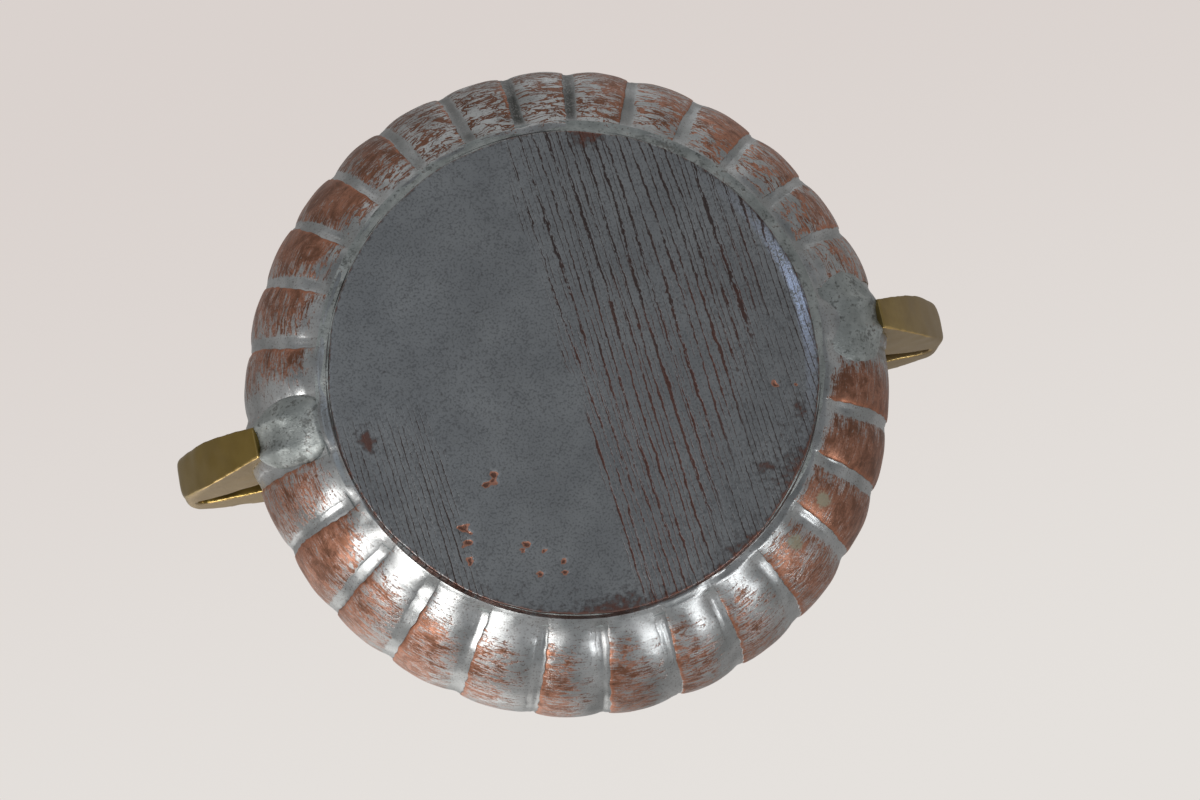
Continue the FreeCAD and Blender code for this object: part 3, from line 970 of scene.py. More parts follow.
@dataclass
class LobedBowl:
    """The raised bowl with its lobed belly, and the bead at its mouth."""

    sheet: float = 1.0 * MM
    front_lobes: int = 13
    back_lobes: int = 14
    lobe_depth: float = 0.95 * MM
    lobe_edge: float = 0.12
    groove_at_base: float = 0.098
    groove_at_belly: float = 0.076
    lobe_rise: float = 2.4 * MM
    lobe_end: float = 7.0 * MM
    squeeze: float = 0.015
    row_counts: tuple[int, ...] = (7, 11, 49, 33, 7)
    bead_land: float = 1.2 * MM
    bead_tin: float = 0.12
    wander_speeds: tuple[float, ...] = (90, 130, 400, 700, 900)
    wander_sizes: tuple[float, ...] = (0.01, 0.007, 0.005, 0.005, 0.004)
    lobe_start_mm: Bumps = ((2.6, 150, 26), (1.6, 45, 30), (-0.9, -50, 45), (-0.9, 95, 24))
    snug_toe: Bumps = ((1.0, -42, 30), (1.0, -85, 26))
    tin_reach_mm: Bumps = ((-2.0, -148, 26), (2.5, 150, 22), (3.0, -45, 26))
    tin_kept: Bumps = ((0.5, 88, 34), (0.2, 142, 24), (-0.08, -152, 20), (0.5, -88, 30), (0.22, -118, 16),
                       (0.24, -45, 24), (0.2, 18, 16), (-0.22, 55, 18), (0.9, 2, 8), (0.9, 180, 11), (0.25, 160, 13))
    tin_lost_above: Bumps = ((0.22, 142, 24), (0.18, -152, 20), (0.22, -88, 30), (0.15, -45, 24))
    tin_cracked: Bumps = ((0.9, 88, 34), (1.0, 148, 26), (0.2, 40, 25))
    darkened: Bumps = ((0.85, 85, 34), (0.35, -155, 26), (0.15, 30, 25))
    crusts: tuple[tuple[float, float], ...] = ((-130, 6.6 * MM), (-140.5, 6.8 * MM))
    seed: int = 29

    def __post_init__(self) -> None:
        """Takes the profile and the bead from the frame."""
        self.profile = BowlProfile()
        low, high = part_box("rim_bead")
        self.bead_radius = high.x
        self.bead_low = low.z
        self.draw = np.random.default_rng(self.seed)

    def lobe_bounds(self) -> np.ndarray:
        """The angles of the groove middles, one more than there are lobes.

        Returns:
            Rising angles over one full turn.
        """
        count = self.front_lobes + self.back_lobes + 2
        handle = FULL_TURN / count
        open_side = math.pi - handle
        widths = [handle] + [open_side / self.back_lobes] * self.back_lobes
        widths += [handle] + [open_side / self.front_lobes] * self.front_lobes
        bounds = np.concatenate([[0.0], np.cumsum(widths)]) - handle / 2
        bounds[1:-1] += self.draw.uniform(-0.05, 0.05, count - 1) * handle
        return bounds

    def cross_section(self) -> tuple[np.ndarray, np.ndarray]:
        """One lobe from groove middle to groove middle.

        Returns:
            The shares of the pitch where columns stand, and the relief there, 0 in the groove and 1 on the crest.
        """
        edge = self.lobe_edge
        groove = np.array([0.0, 0.045, 0.085, 0.112])
        lobe = np.array([0.0, 0.012, 0.035, 0.075, 0.13, 0.2, 0.28, 0.36, 0.44, 0.52, 0.6, 0.68, 0.76,
                         0.83, 0.89, 0.935, 0.965, 0.985, 1.0])
        rising = (1 - (1 - np.minimum(lobe * 2, 1.0)) ** 2.0) ** 0.85
        falling = 0.36 + 0.64 * (1 - np.maximum(lobe * 2 - 1, 0.0) ** 2.2) ** 0.7
        relief = np.where(lobe < 0.5, 0.16 + 0.84 * rising, falling)
        shares = np.concatenate([groove, edge + lobe * (1 - 2 * edge), 1 - groove[:0:-1]])
        heights = np.concatenate([[0.0, 0.03, 0.09, 0.14], relief, [0.14, 0.09, 0.03]])
        return shares, heights

    def rows(self) -> dict[str, np.ndarray]:
        """The wall's rows from the middle of the bottom, up the outside, over the rim and down the inside.

        Returns:
            Radius, height, outward normal, length along the profile, and whether a row lies inside.
        """
        outline = self.profile
        ends = (0.0, outline.to_corner, outline.to_shoulder, outline.to_belly, outline.to_neck, outline.to_rim)
        spans = [np.linspace(low, high, count) for low, high, count in zip(ends, ends[1:], self.row_counts)]
        along = np.concatenate([*(span[:-1] for span in spans[:-1]), spans[-1]])
        radius, height, out, up = outline.at(along)
        under = np.array([15 * MM, 32 * MM, outline.toe_radius - 0.6 * MM])
        inner = along[along > outline.to_corner][::-2]
        inner_radius, inner_height, inner_out, inner_up = outline.at(inner)
        inner_radius = inner_radius - inner_out * self.sheet
        inner_height = np.maximum(inner_height - inner_up * self.sheet, outline.bottom_height + self.sheet)
        inner_height[0] = outline.rim_height
        floor = np.array([38 * MM, 26 * MM, 12 * MM])
        flat, floor_level = np.zeros(3), np.full(3, outline.bottom_height + self.sheet)
        return {
            "radius": np.concatenate([under, radius, inner_radius, floor]),
            "height": np.concatenate([np.full(3, outline.bottom_height), height, inner_height, floor_level]),
            "out": np.concatenate([flat, out, inner_out, flat]),
            "up": np.concatenate([flat - 1, up, inner_up, flat - 1]),
            "along": np.concatenate([flat, along, inner, flat]),
            "inside": np.concatenate([flat, 0 * along, 0 * inner + 1, flat + 1]),
        }

    def edge_wander(self, along: np.ndarray, count: int) -> np.ndarray:
        """How far the edges of the lobes stray along the wall.

        Args:
            along: The rows' lengths along the profile.
            count: How many lobes there are.

        Returns:
            Shares of the pitch, by row and lobe.
        """
        waves = len(self.wander_speeds)
        phases = self.draw.uniform(0, FULL_TURN, (waves, count))
        speeds = self.draw.uniform(1, 4, (waves, count)) * np.array(self.wander_speeds)[:, None]
        swings = np.cos(along * speeds[:, None, :, None] + phases[:, None, :, None])
        return np.tensordot(self.wander_sizes, swings, axes=1)

    def wall_marks(self, rows: dict[str, np.ndarray], angle: np.ndarray, relief: np.ndarray, shares: np.ndarray,
                   start: np.ndarray, fade: np.ndarray) -> dict[Mark, np.ndarray]:
        """What the wall tells its finish: where its tin is worn, cracked, darker in some grooves or crusted.

        Args:
            rows: The wall's rows.
            angle: The points' angles, by row, lobe and column.
            relief: How high they lie on their lobes.
            shares: Where the columns stand on a lobe.
            start: Where the lobes start.
            fade: How far they have risen.

        Returns:
            The marks, by row, lobe and column.
        """
        along, outside = rows["along"], 1 - rows["inside"]
        shift = self.draw.uniform(0, 50, len(start))[:, None]
        sheet = np.stack(np.broadcast_arrays(self.profile.belly_radius * angle, along, shift), axis=-1)
        tin_reach = (5.0 + bumps(angle, self.tin_reach_mm)) * MM
        low_lobe = 1 - ease(0.35 * tin_reach, 1.4 * tin_reach, along - start)
        lobes = ease(0.15, 0.37, relief) * fade
        lean = 1 - ease(0.12, 0.62, shares)
        wear = self.draw.uniform(-0.14, 0.14, len(start))[:, None]
        kept = wear + (0.3 + 0.25 * near(angle, -85, 35)) * lean + bumps(angle, self.tin_kept)
        kept = kept - ease(5 * MM, 13 * MM, along) * bumps(angle, self.tin_lost_above)
        cover = 0.95 + lobes * (kept - 1.2) + 0.7 * low_lobe
        cover = cover + 0.9 * rows["inside"] + 0.05 * (along >= self.profile.to_neck)
        # Dark speckles in the low parts of the lobes around 95 degrees, darkest in the grooves there.
        dark_in_grooves = bell(relief, 0.26) * near(angle, 95, 24) * ease(1 * MM, 4 * MM, along)
        crust = sum(near(angle, turn, 1.7) * bell(along - at, 1.9 * MM) for turn, at in self.crusts)
        return {
            Mark.SHEET: sheet,
            Mark.COVER: cover,
            Mark.EDGE: bell(shares - 0.865, 0.03) * fade * outside,
            Mark.STAIN: 0.95 * dark_in_grooves * outside,
            Mark.CRACK: lobes * (0.3 + bumps(angle, self.tin_cracked)),
            Mark.DARK: bumps(angle, self.darkened),
            Mark.PIT: crust * outside,
        }

    def wall(self) -> None:
        """Builds and dresses the wall."""
        neck = self.profile.to_neck
        bounds = self.lobe_bounds()
        pitch = np.diff(bounds)
        middles = bounds[:-1] + pitch / 2
        count = len(pitch)
        shares, heights = self.cross_section()
        rows = {name: values[:, None, None] for name, values in self.rows().items()}
        along = rows["along"]

        narrowing = ease(2 * MM, 20 * MM, along)
        groove = self.groove_at_base + (self.groove_at_belly - self.groove_at_base) * narrowing
        left = groove + self.edge_wander(along, count)
        right = groove + self.edge_wander(along, count)
        edge = self.lobe_edge
        placed = left + (shares - edge) / (1 - 2 * edge) * (1 - left - right)
        placed = np.where(shares > 1 - edge, 1 - (1 - shares) / edge * right, placed)
        placed = np.where(shares < edge, shares / edge * left, placed)
        angle = bounds[:-1, None] + pitch[:, None] * placed

        start = self.draw.uniform(-0.3, 0.4, count) + bumps(middles, self.lobe_start_mm) - 0.4
        start = start[:, None] * MM
        swell = 1 + self.draw.uniform(-0.15, 0.15, count)[:, None]
        fade = ease(0.0, self.lobe_rise, along - start)
        rise = (6 - 2.6 * near(middles, -60, 50))[:, None] * MM
        below_neck = 1 - ease(neck - self.lobe_end, neck, along)
        depth = self.lobe_depth * swell * ease(-0.6 * MM, rise, along) * below_neck
        depth = depth * (1 - 0.25 * narrowing) * (1 - 0.45 * rows["inside"])
        relief = np.broadcast_to(heights, angle.shape)
        sunk = depth * (1 - relief * fade)
        around = about_axis(1.0, angle, along / (50 * MM))
        dents = lumps(around, 0.16, Seed.WALL_DENTS) * 0.6 + lumps(around, 0.06, Seed.WALL_RIPPLES) * 0.4
        snug = np.clip(bumps(angle, self.snug_toe), 0, 1)
        toe = (0.32 - 0.8 * snug) * MM * (1 - ease(0.0, 1.6 * MM, along)) * rows["up"]
        sunk = sunk + (0.08 * MM * (1 - dents) * (along < neck) - toe) * (along > 0)

        waist = ease(2 * MM, 18 * MM, along) * (1 - ease(neck - 12 * MM, neck, along))
        free = 1 - near(angle, 0, 9) - near(angle, 180, 9)
        radius = rows["radius"] - rows["out"] * sunk
        radius = radius * (1 - self.squeeze * waist * free * np.cos(angle) ** 2)
        points = about_axis(radius, angle, rows["height"] - rows["up"] * sunk)

        marks = self.wall_marks(rows, angle, relief, shares, start, fade * below_neck)
        marks = {mark: values.reshape(len(along), -1, *values.shape[3:]) for mark, values in marks.items()}
        piece = ring_piece("bowl_wall_chased", points.reshape(len(along), -1, 3), marks, loop=False)
        put(piece, WornTin("worn_tin"), Body.BOWL, ["bowl_wall"])

    def bead(self) -> None:
        """Builds and dresses the bead round the mouth."""
        outline = self.profile
        turns = np.linspace(0, FULL_TURN, 360, endpoint=False)
        inner = outline.neck_radius - 0.1 * MM
        half = (outline.rim_height - self.bead_low) / 2
        outer = outline.neck_radius + self.bead_land
        bulge = self.bead_radius - outer
        bend = np.linspace(-QUARTER_TURN, QUARTER_TURN, 13)
        radius = np.concatenate([[inner], outer + bulge * np.cos(bend), [inner]])
        height = np.concatenate([[self.bead_low], self.bead_low + half + half * np.sin(bend), [outline.rim_height]])
        rings = about_axis(radius[:, None], turns, height[:, None])
        worn = (radius > outer)[:, None] * (0.08 * MM) * (1 + lumps(rings, 6 * MM, Seed.BEAD_WEAR))
        rings = about_axis(radius[:, None] - worn, turns, height[:, None])
        sheet = np.stack(np.broadcast_arrays(outline.neck_radius * turns, height[:, None], 0.0), axis=-1)
        marks = {Mark.SHEET: sheet, Mark.COVER: np.full(rings.shape[:2], self.bead_tin)}
        piece = ring_piece("rim_bead_rolled", rings, marks, loop=True)
        put(piece, WornTin("worn_tin"), Body.BOWL, ["rim_bead"])

    def build(self) -> None:
        """Builds the wall and the bead."""
        self.wall()
        self.bead()


@dataclass(frozen=True)
class Stain:
    """A round or long brown place on the base plate."""

    x: float
    y: float
    reach_x: float
    reach_y: float
    strength: float = 1.0

    def at(self, points: np.ndarray) -> np.ndarray:
        """How stained each point is, from 0 to 1.

        Args:
            points: Points of the plate.

        Returns:
            The strength in the middle, falling to 0.
        """
        across = bell(points[..., 0] - self.x, self.reach_x)
        return self.strength * across * bell(points[..., 1] - self.y, self.reach_y)


@dataclass(frozen=True)
class PitCluster:
    """A group of pits in the base plate: its middle, how many there are and how far they spread."""

    x: float
    y: float
    count: int
    spread: float


@dataclass
class BasePlate:
    """The hand-cut plate under the bowl and the solder that holds it."""

    facets: int = 26
    facet_spread: float = 0.3 * MM
    rings: int = 110
    places: int = 540
    pit_clusters: tuple[PitCluster, ...] = (
        PitCluster(13.0 * MM, -33.0 * MM, 6, 3.0 * MM),
        PitCluster(19.0 * MM, -16.5 * MM, 3, 1.2 * MM),
        PitCluster(25.5 * MM, -27.0 * MM, 4, 2.2 * MM),
        PitCluster(-34.0 * MM, -12.0 * MM, 3, 3.0 * MM),
    )
    stains: tuple[Stain, ...] = (
        Stain(-11 * MM, 41 * MM, 3 * MM, 2 * MM),
        Stain(38.5 * MM, -5 * MM, 1.6 * MM, 2.4 * MM),
        Stain(2 * MM, -42 * MM, 6 * MM, 2.4 * MM, 0.5),
        Stain(-34 * MM, -25 * MM, 5 * MM, 5 * MM, 0.4),
        Stain(-29 * MM, -24 * MM, 1.6 * MM, 1.2 * MM, 0.7),
        Stain(-37.5 * MM, -15 * MM, 1.2 * MM, 2.2 * MM, 0.7),
        Stain(-24 * MM, -37 * MM, 6 * MM, 2.4 * MM, 0.4),
    )
    border_stain: Bumps = ((1.0, -80, 42), (0.8, -140, 30))
    hidden_solder: Bumps = ((1.0, -60, 50), (1.0, -120, 45))
    round_over: float = 0.35 * MM
    seed: int = 7

    def __post_init__(self) -> None:
        """Takes the plate's size from the frame."""
        low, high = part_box("base_plate")
        self.radius = high.y
        self.thickness = high.z - low.z
        self.solder_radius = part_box("base_solder")[1].x
        self.draw = np.random.default_rng(self.seed)

    def outline(self, turns: np.ndarray) -> np.ndarray:
        """The plate's radius at each angle: many short cuts, rounded into each other.

        Args:
            turns: Angles about the axis.

        Returns:
            The radius there.
        """
        middles = np.sort(self.draw.uniform(0, FULL_TURN, self.facets))
        reach = self.radius - self.draw.uniform(0, 1, self.facets) * self.facet_spread
        apart = np.abs((turns[:, None] - middles + math.pi) % FULL_TURN - math.pi)
        cut = np.where(apart < 0.6, reach / np.cos(np.minimum(apart, 0.6)), np.inf)
        sharp = np.minimum(cut.min(axis=1), self.radius)
        spread = np.exp(-np.linspace(-2, 2, 9) ** 2)
        return np.convolve(np.concatenate([sharp[-4:], sharp, sharp[:4]]), spread / spread.sum(), "valid")

    def pits(self, points: np.ndarray) -> np.ndarray:
        """How deep in a pit each point lies.

        Args:
            points: Points of the plate's underside.

        Returns:
            0 outside the pits, up to 1 in their middles.
        """
        deep = np.zeros(points.shape[:-1])
        ragged = lumps(points, 0.7 * MM, Seed.PIT_EDGES)
        for cluster in self.pit_clusters:
            for _ in range(cluster.count):
                centre = np.array([cluster.x, cluster.y]) + self.draw.normal(size=2) * cluster.spread
                reach = self.draw.uniform(0.35, 1.05) * MM
                apart = np.linalg.norm(points[..., :2] - centre, axis=-1) + 0.22 * MM * ragged
                deep = np.maximum(deep, 1 - ease(0.25 * reach, 1.15 * reach, apart))
        return deep

    def plate(self) -> None:
        """Builds and dresses the plate."""
        turns = np.linspace(0, FULL_TURN, self.places, endpoint=False)
        edge = self.outline(turns)
        flat_edge = edge - self.round_over
        shares = np.linspace(0.02, 1.0, self.rings)
        bend = np.linspace(0, QUARTER_TURN, 6)[1:]
        rounded = flat_edge + np.sin(bend)[:, None] * self.round_over
        top = np.stack([edge, edge - 0.1 * MM, 0.5 * edge])
        radius = np.concatenate([shares[:, None] * flat_edge, rounded, top])
        height = np.concatenate([0 * shares, self.round_over * (1 - np.cos(bend)), np.full(3, self.thickness)])
        rings = about_axis(radius, turns, height[:, None])
        under = 1 - ease(0.1 * self.thickness, 0.9 * self.thickness, rings[..., 2])
        pit = self.pits(rings) * under
        from_edge = edge - np.linalg.norm(rings[..., :2], axis=-1)
        dish = 0.06 * MM * (1 + lumps(rings, 16 * MM, Seed.PLATE_DISH)) * ease(0.0, 4 * MM, from_edge)
        strip = near(turns, 172, 20)
        slope = np.clip((from_edge - 0.25 * MM) / (2.2 * MM), 0, 1)
        dish = dish + 0.7 * MM * strip * slope * (1 - ease(3 * MM, 18 * MM, from_edge))
        # Painted reflection: the mark for the bluish strip painted near the plate's edge.
        painted_sky_reflection = strip * ease(0.1 * MM, 0.5 * MM, from_edge) * (1 - ease(1.9 * MM, 2.7 * MM, from_edge))
        rings[..., 2] += under * (dish + 0.22 * MM * pit)
        stain = sum(place.at(rings) for place in self.stains)
        border = bumps(turns, self.border_stain)
        stain = stain + 0.7 * bell(from_edge, 0.4 * MM) + 0.3 * border * bell(from_edge, 3.0 * MM)
        marks = {Mark.PIT: pit, Mark.STAIN: np.clip(stain, 0, 1), Mark.EDGE: painted_sky_reflection}
        piece = ring_piece("base_plate_filed", rings, marks, loop=False)
        put(piece, FiledPlate("filed_plate"), Body.BOWL, ["base_plate"])

    def solder(self) -> None:
        """Builds and dresses the solder round the plate, open on one side and flush on the other."""
        turns = np.linspace(0, FULL_TURN, 480, endpoint=False)
        flush = near(turns, 172, 40)
        gap = near(turns, -22, 28)
        hidden = np.clip(bumps(turns, self.hidden_solder), 0, 1)
        toe = (0.42 - 0.2 * flush + 0.5 * gap + 0.3 * hidden) * MM
        inner = self.radius - (0.2 - 0.4 * gap) * MM
        outer = self.solder_radius + (0.35 + 0.15 * np.cos(3 * turns)) * MM
        shares = np.linspace(0, 1, 8)[:, None]
        sag = 0.2 * MM * np.sin(math.pi * shares)
        radius = np.concatenate([inner + (outer - inner) * shares, outer[None], inner[None]])
        foot = toe + ((1.3 + 0.5 * hidden) * MM - toe) * shares + sag * (1 - flush)
        height = np.concatenate([foot, np.full((2, len(turns)), 2.1 * MM)])
        rings = about_axis(radius, turns, height)
        wave = lumps(rings, 5 * MM, Seed.BASE_SOLDER) * 0.08 * MM
        rings[1:7, :, 2] += wave[1:7]
        piece = ring_piece("base_solder_run", rings, {}, loop=True)
        put(piece, WipedSolder("wiped_solder"), Body.BOWL, ["base_solder"])

    def build(self) -> None:
        """Builds the plate and its solder."""
        self.plate()
        self.solder()


@dataclass(frozen=True)
class RootSolder:
    """The solder wiped over the wall around one handle root."""

    root: Root
    low: float
    high: float
    half_width: float
    body: float
    grip_width: float
    seed: int


@dataclass(frozen=True)
class Wiping:
    """How the solder was wiped on one side: around which angle, how wide, how full and with how long a foot."""

    middle: float
    spread: float
    body: float
    foot: float


@dataclass
class LoopHandles:
    """The two cast handles and the solder at their roots."""

    grain: float = 0.25 * MM
    easing: int = 2
    casting_lumps: float = 0.03 * MM
    gap_end: float = 70.8 * MM
    gap_level: float = 37.6 * MM
    gap_stretch: float = 1.5 * MM
    stretch_end: float = 74.0 * MM
    tip_rounds: int = 60
    solder_sunk: float = 1.5 * MM
    patch_rows: int = 70
    patch_columns: int = 56

    def __post_init__(self) -> None:
        """Measures where the roots meet the wall."""
        self.profile = BowlProfile()
        self.roots = (
            RootSolder(Root.LOWER, low=1.2 * MM, high=18.5 * MM, half_width=6.6 * MM, body=0.55 * MM,
                       grip_width=2.7 * MM, seed=Seed.LOWER_SOLDER),
            RootSolder(Root.UPPER, low=self.profile.to_belly + 12.5 * MM, high=self.profile.to_neck + 3.6 * MM,
                       half_width=8.2 * MM, body=0.9 * MM, grip_width=6.2 * MM, seed=Seed.UPPER_SOLDER),
        )
        self.wiped = {
            Side.LEFT: Wiping(middle=math.pi, spread=1.35, body=0.5, foot=0.4),
            Side.RIGHT: Wiping(middle=0.0, spread=1.0, body=1.0, foot=0.1),
        }

    def handle(self, side: Side) -> None:
        """Builds and dresses one handle.

        Args:
            side: Which one it is.
        """
        node = f"handle_{side.value}"
        piece = recast(node, f"{node}_cast", self.grain, self.easing)
        points, _ = points_of(piece.data)
        reach = np.abs(points[:, 0])
        tip = ease(self.gap_end - 3 * MM, self.gap_end + 2.5 * MM, reach)
        points = points + (smoothed(piece.data, self.tip_rounds) - points) * tip[:, None]
        stretch = ease(self.gap_end - 7 * MM, self.gap_end, reach)
        stretch = stretch * (1 - ease(self.gap_end, self.stretch_end, reach))
        stretch = stretch * bell(points[:, 2] - self.gap_level, 2.4 * MM) * self.gap_stretch
        points[:, 0] += np.sign(points[:, 0]) * stretch
        move_points(piece.data, points)
        points, normals = points_of(piece.data)
        hollow = self.casting_lumps * (1 + lumps(points, 3 * MM, Seed.CASTING))
        move_points(piece.data, points - normals * hollow[:, None])
        # Painted light: the left handle's outer face takes the lighter brushed tone, more towards the tip.
        haze = 0.3 + 0.7 * ease(56 * MM, 73 * MM, reach) if side is Side.LEFT else 0 * reach
        # Painted highlight: besides rubbed wear, the bright edges are kept only where the normal faces -Y.
        edge = ease(0.04 * MM, 0.11 * MM, convexity(piece.data)) * ease(-0.2, 0.3, -normals[:, 1])
        marks = {
            Mark.SIDE: np.maximum(ease(0.55, 0.9, np.abs(normals[:, 1])), haze),
            Mark.EDGE: edge * (1 - 0.6 * tip),
            # Painted shade: the right handle's faces are darkened towards the deep tone.
            Mark.DARK: np.full(len(reach), 0.7 if side is Side.RIGHT else 0.0),
        }
        write_marks(piece.data, marks)
        put(piece, CastBrass("old_brass"), Body.BOWL, [node])

    def solder(self, side: Side, root: RootSolder) -> None:
        """Builds and dresses the solder at one root.

        Args:
            side: The handle's side.
            root: The root's solder.
        """
        wiped = self.wiped[side]
        along = np.linspace(root.low, root.high, self.patch_rows)[:, None]
        share = (along - root.low) / (root.high - root.low)
        across = np.linspace(-1, 1, self.patch_columns)[None]
        rounded = (1 - share ** 5) ** 0.5 * (0.72 + 0.28 * ease(0.0, 0.3, share))
        width = wiped.spread * root.half_width * np.maximum(rounded, 0.05)
        radius, height, out, up = self.profile.at(along)
        offset = width * across
        places = np.stack(np.broadcast_arrays(offset, along, wiped.middle), axis=-1)
        lump = lumps(places, 5 * MM, root.seed) * 0.12 * MM + lumps(places, 2 * MM, root.seed + 1) * 0.04 * MM
        fillet = 0.7 * MM * bell(np.abs(offset) - root.grip_width, 1.1 * MM) * ease(0.3, 0.6, share)
        ends = ease(0.0, wiped.foot, share) * (1 - ease(0.85, 1.0, share))
        swell = (wiped.body * root.body * (1 - np.abs(across) ** 3) + lump + fillet) * ends
        swell = swell - 1.3 * wiped.body * MM * np.abs(across) ** 7 - 0.9 * MM * (1 - ends)
        angle = wiped.middle + offset / radius
        outer, inner = (about_axis(radius + out * lift, angle, height + up * lift)
                        for lift in (swell, -self.solder_sunk))
        rings = np.concatenate([outer, inner[:, ::-1]], axis=1)
        node = f"handle_{side.value}_{root.root.value}_solder"
        piece = ring_piece(f"{node}_wiped", rings, {}, loop=False)
        put(piece, WipedSolder("wiped_solder"), Body.BOWL, [node])

    def build(self) -> None:
        """Builds both handles and their solder."""
        for side in Side:
            self.handle(side)
            for root in self.roots:
                self.solder(side, root)


@dataclass
class PetalledLid:
    """The domed lid with its chased petals."""

    petals: int = 20
    places_per_petal: int = 36
    sheet: float = 1.0 * MM
    dome_foot: float = 45.3 * MM
    crown: float = 10.0 * MM
    arch_reach: float = 42.6 * MM
    scallop_gap: float = 3.3 * MM
    channel: float = 0.8 * MM
    pillow: float = 0.9 * MM
    tang_hole: float = 2.1 * MM

    def __post_init__(self) -> None:
        """Takes the lid's size from the frame."""
        low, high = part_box("lid_shell")
        self.radius = high.x
        self.foot_height = low.z + self.sheet
        self.seat_height = low.z
        self.crown_height = high.z
        rise = self.crown_height - self.foot_height
        gap = self.dome_foot ** 2 - self.crown ** 2
        self.centre = self.foot_height + (rise ** 2 - gap) / (2 * rise)
        self.sphere = math.hypot(self.dome_foot, self.foot_height - self.centre)

    def petal_depth(self, radius: np.ndarray, angle: np.ndarray) -> np.ndarray:
        """How far inside its petal a point lies, or outside as a negative distance.

        Args:
            radius: The distance from the axis.
            angle: The angle about it.

        Returns:
            The distance to the petal's outline.
        """
        half = math.pi / self.petals
        turn = angle % (2 * half) - half
        arch_centre = self.arch_reach / (1 + math.sin(half))
        arch = arch_centre * math.sin(half)
        x, y = radius * np.sin(turn), radius * np.cos(turn)
        straight = radius * np.sin(half - np.abs(turn))
        rounded = arch - np.hypot(x, y - arch_centre)
        return np.where(y < arch_centre, straight, rounded)

    def relief(self, radius: np.ndarray, angle: np.ndarray) -> tuple[np.ndarray, np.ndarray]:
        """The chasing's height and how bright its channels are.

        Args:
            radius: The distance from the axis.
            angle: The angle about it.

        Returns:
            The height above the plain dome, never above it, and 1 in the channels.
        """
        inside = self.petal_depth(radius, angle)
        channel = bell(inside, self.channel)
        second = bell(inside + self.scallop_gap, 0.7 * self.channel)
        shown = ease(self.crown, self.crown + 3 * MM, radius)
        plain = ease(-self.scallop_gap - 1.2 * MM, -self.scallop_gap, inside)
        raised = ease(0.0, 2.6 * MM, inside) * self.pillow
        height = raised - self.pillow - 0.35 * MM * channel - 0.3 * MM * second * plain
        return height * shown * (0.35 + 0.65 * plain), (channel + 0.8 * second) * shown

    def shell(self) -> None:
        """Builds and dresses the lid's shell."""
        turns = np.linspace(0, FULL_TURN, self.petals * self.places_per_petal, endpoint=False)
        reach = math.asin(self.dome_foot / self.sphere)
        hole = math.asin(self.tang_hole / self.sphere)
        rows: list[tuple[float, float, float]] = []
        inner = self.sphere - self.sheet
        for angle in np.linspace(hole, reach, 36):
            radius = inner * math.sin(angle)
            height = min(self.centre + inner * math.cos(angle), self.crown_height - self.sheet)
            rows.append((radius, max(height, self.seat_height), 0.6))
        rows.append((self.radius - 0.3 * MM, self.seat_height, 0.0))
        half = 0.5 * self.sheet
        rim_arc = arc((self.radius - 0.5 * MM, self.seat_height + half), (0.5 * MM, half),
                      np.linspace(-QUARTER_TURN, QUARTER_TURN, 5))
        rows += [(*point, 0.0) for point in rim_arc]
        for radius in np.linspace(self.radius - 0.7 * MM, self.dome_foot, 14):
            rows.append((radius, self.foot_height, 1.0))
        for angle in np.linspace(reach, hole, 90)[1:]:
            radius = self.sphere * math.sin(angle)
            rows.append((radius, min(self.centre + self.sphere * math.cos(angle), self.crown_height), 1.0))
        radius, height, carved = (np.array(column)[:, None] for column in zip(*rows))
        angle = turns[None] + 0 * radius
        wander = lumps(about_axis(1.0, angle, radius / (20 * MM)), 0.2, Seed.PETAL_WANDER)
        angle_chased = angle + 0.35 * MM * wander / np.maximum(radius, 8 * MM)
        carving, bright = self.relief(radius + 0.2 * MM * wander, angle_chased)
        on_border = (radius >= self.dome_foot - 0.01 * MM) & (carved > 0.9)
        carving = np.where(on_border, np.maximum(carving, -0.35 * MM), carving)
        slope = np.where(on_border, 0.0, radius / self.sphere)
        upright = np.sqrt(1 - slope ** 2)
        out = carved * carving
        rings = about_axis(radius + slope * out, angle, height + upright * out)[:, ::-1]
        outside = (carved > 0.9) * np.ones_like(angle)
        cover = -0.42 + 1.25 * bright + 0.6 * (1 - outside)
        petal = np.floor(turns * self.petals / FULL_TURN)
        sheet = np.stack(np.broadcast_arrays(radius * angle, height, petal * 3.7), axis=-1)
        rim = bell(self.radius - radius, 0.5 * MM) * np.ones_like(angle)
        border = ease(self.dome_foot - 2 * MM, self.dome_foot, radius) * np.ones_like(angle)
        marks = {Mark.COVER: cover, Mark.SHEET: sheet, Mark.EDGE: rim, Mark.STAIN: border}
        marks = {mark: values[:, ::-1] for mark, values in marks.items()}
        piece = ring_piece("lid_shell_chased", rings, marks, loop=True)
        put(piece, DappledLid("dappled_lid"), Body.LID, ["lid_shell"])

    def build(self) -> None:
        """Builds the shell and dresses the collar and its solder."""
        self.shell()
        dress_node("lid_collar", WipedSolder("wiped_solder"))
        dress_node("lid_collar_solder", WipedSolder("wiped_solder"))


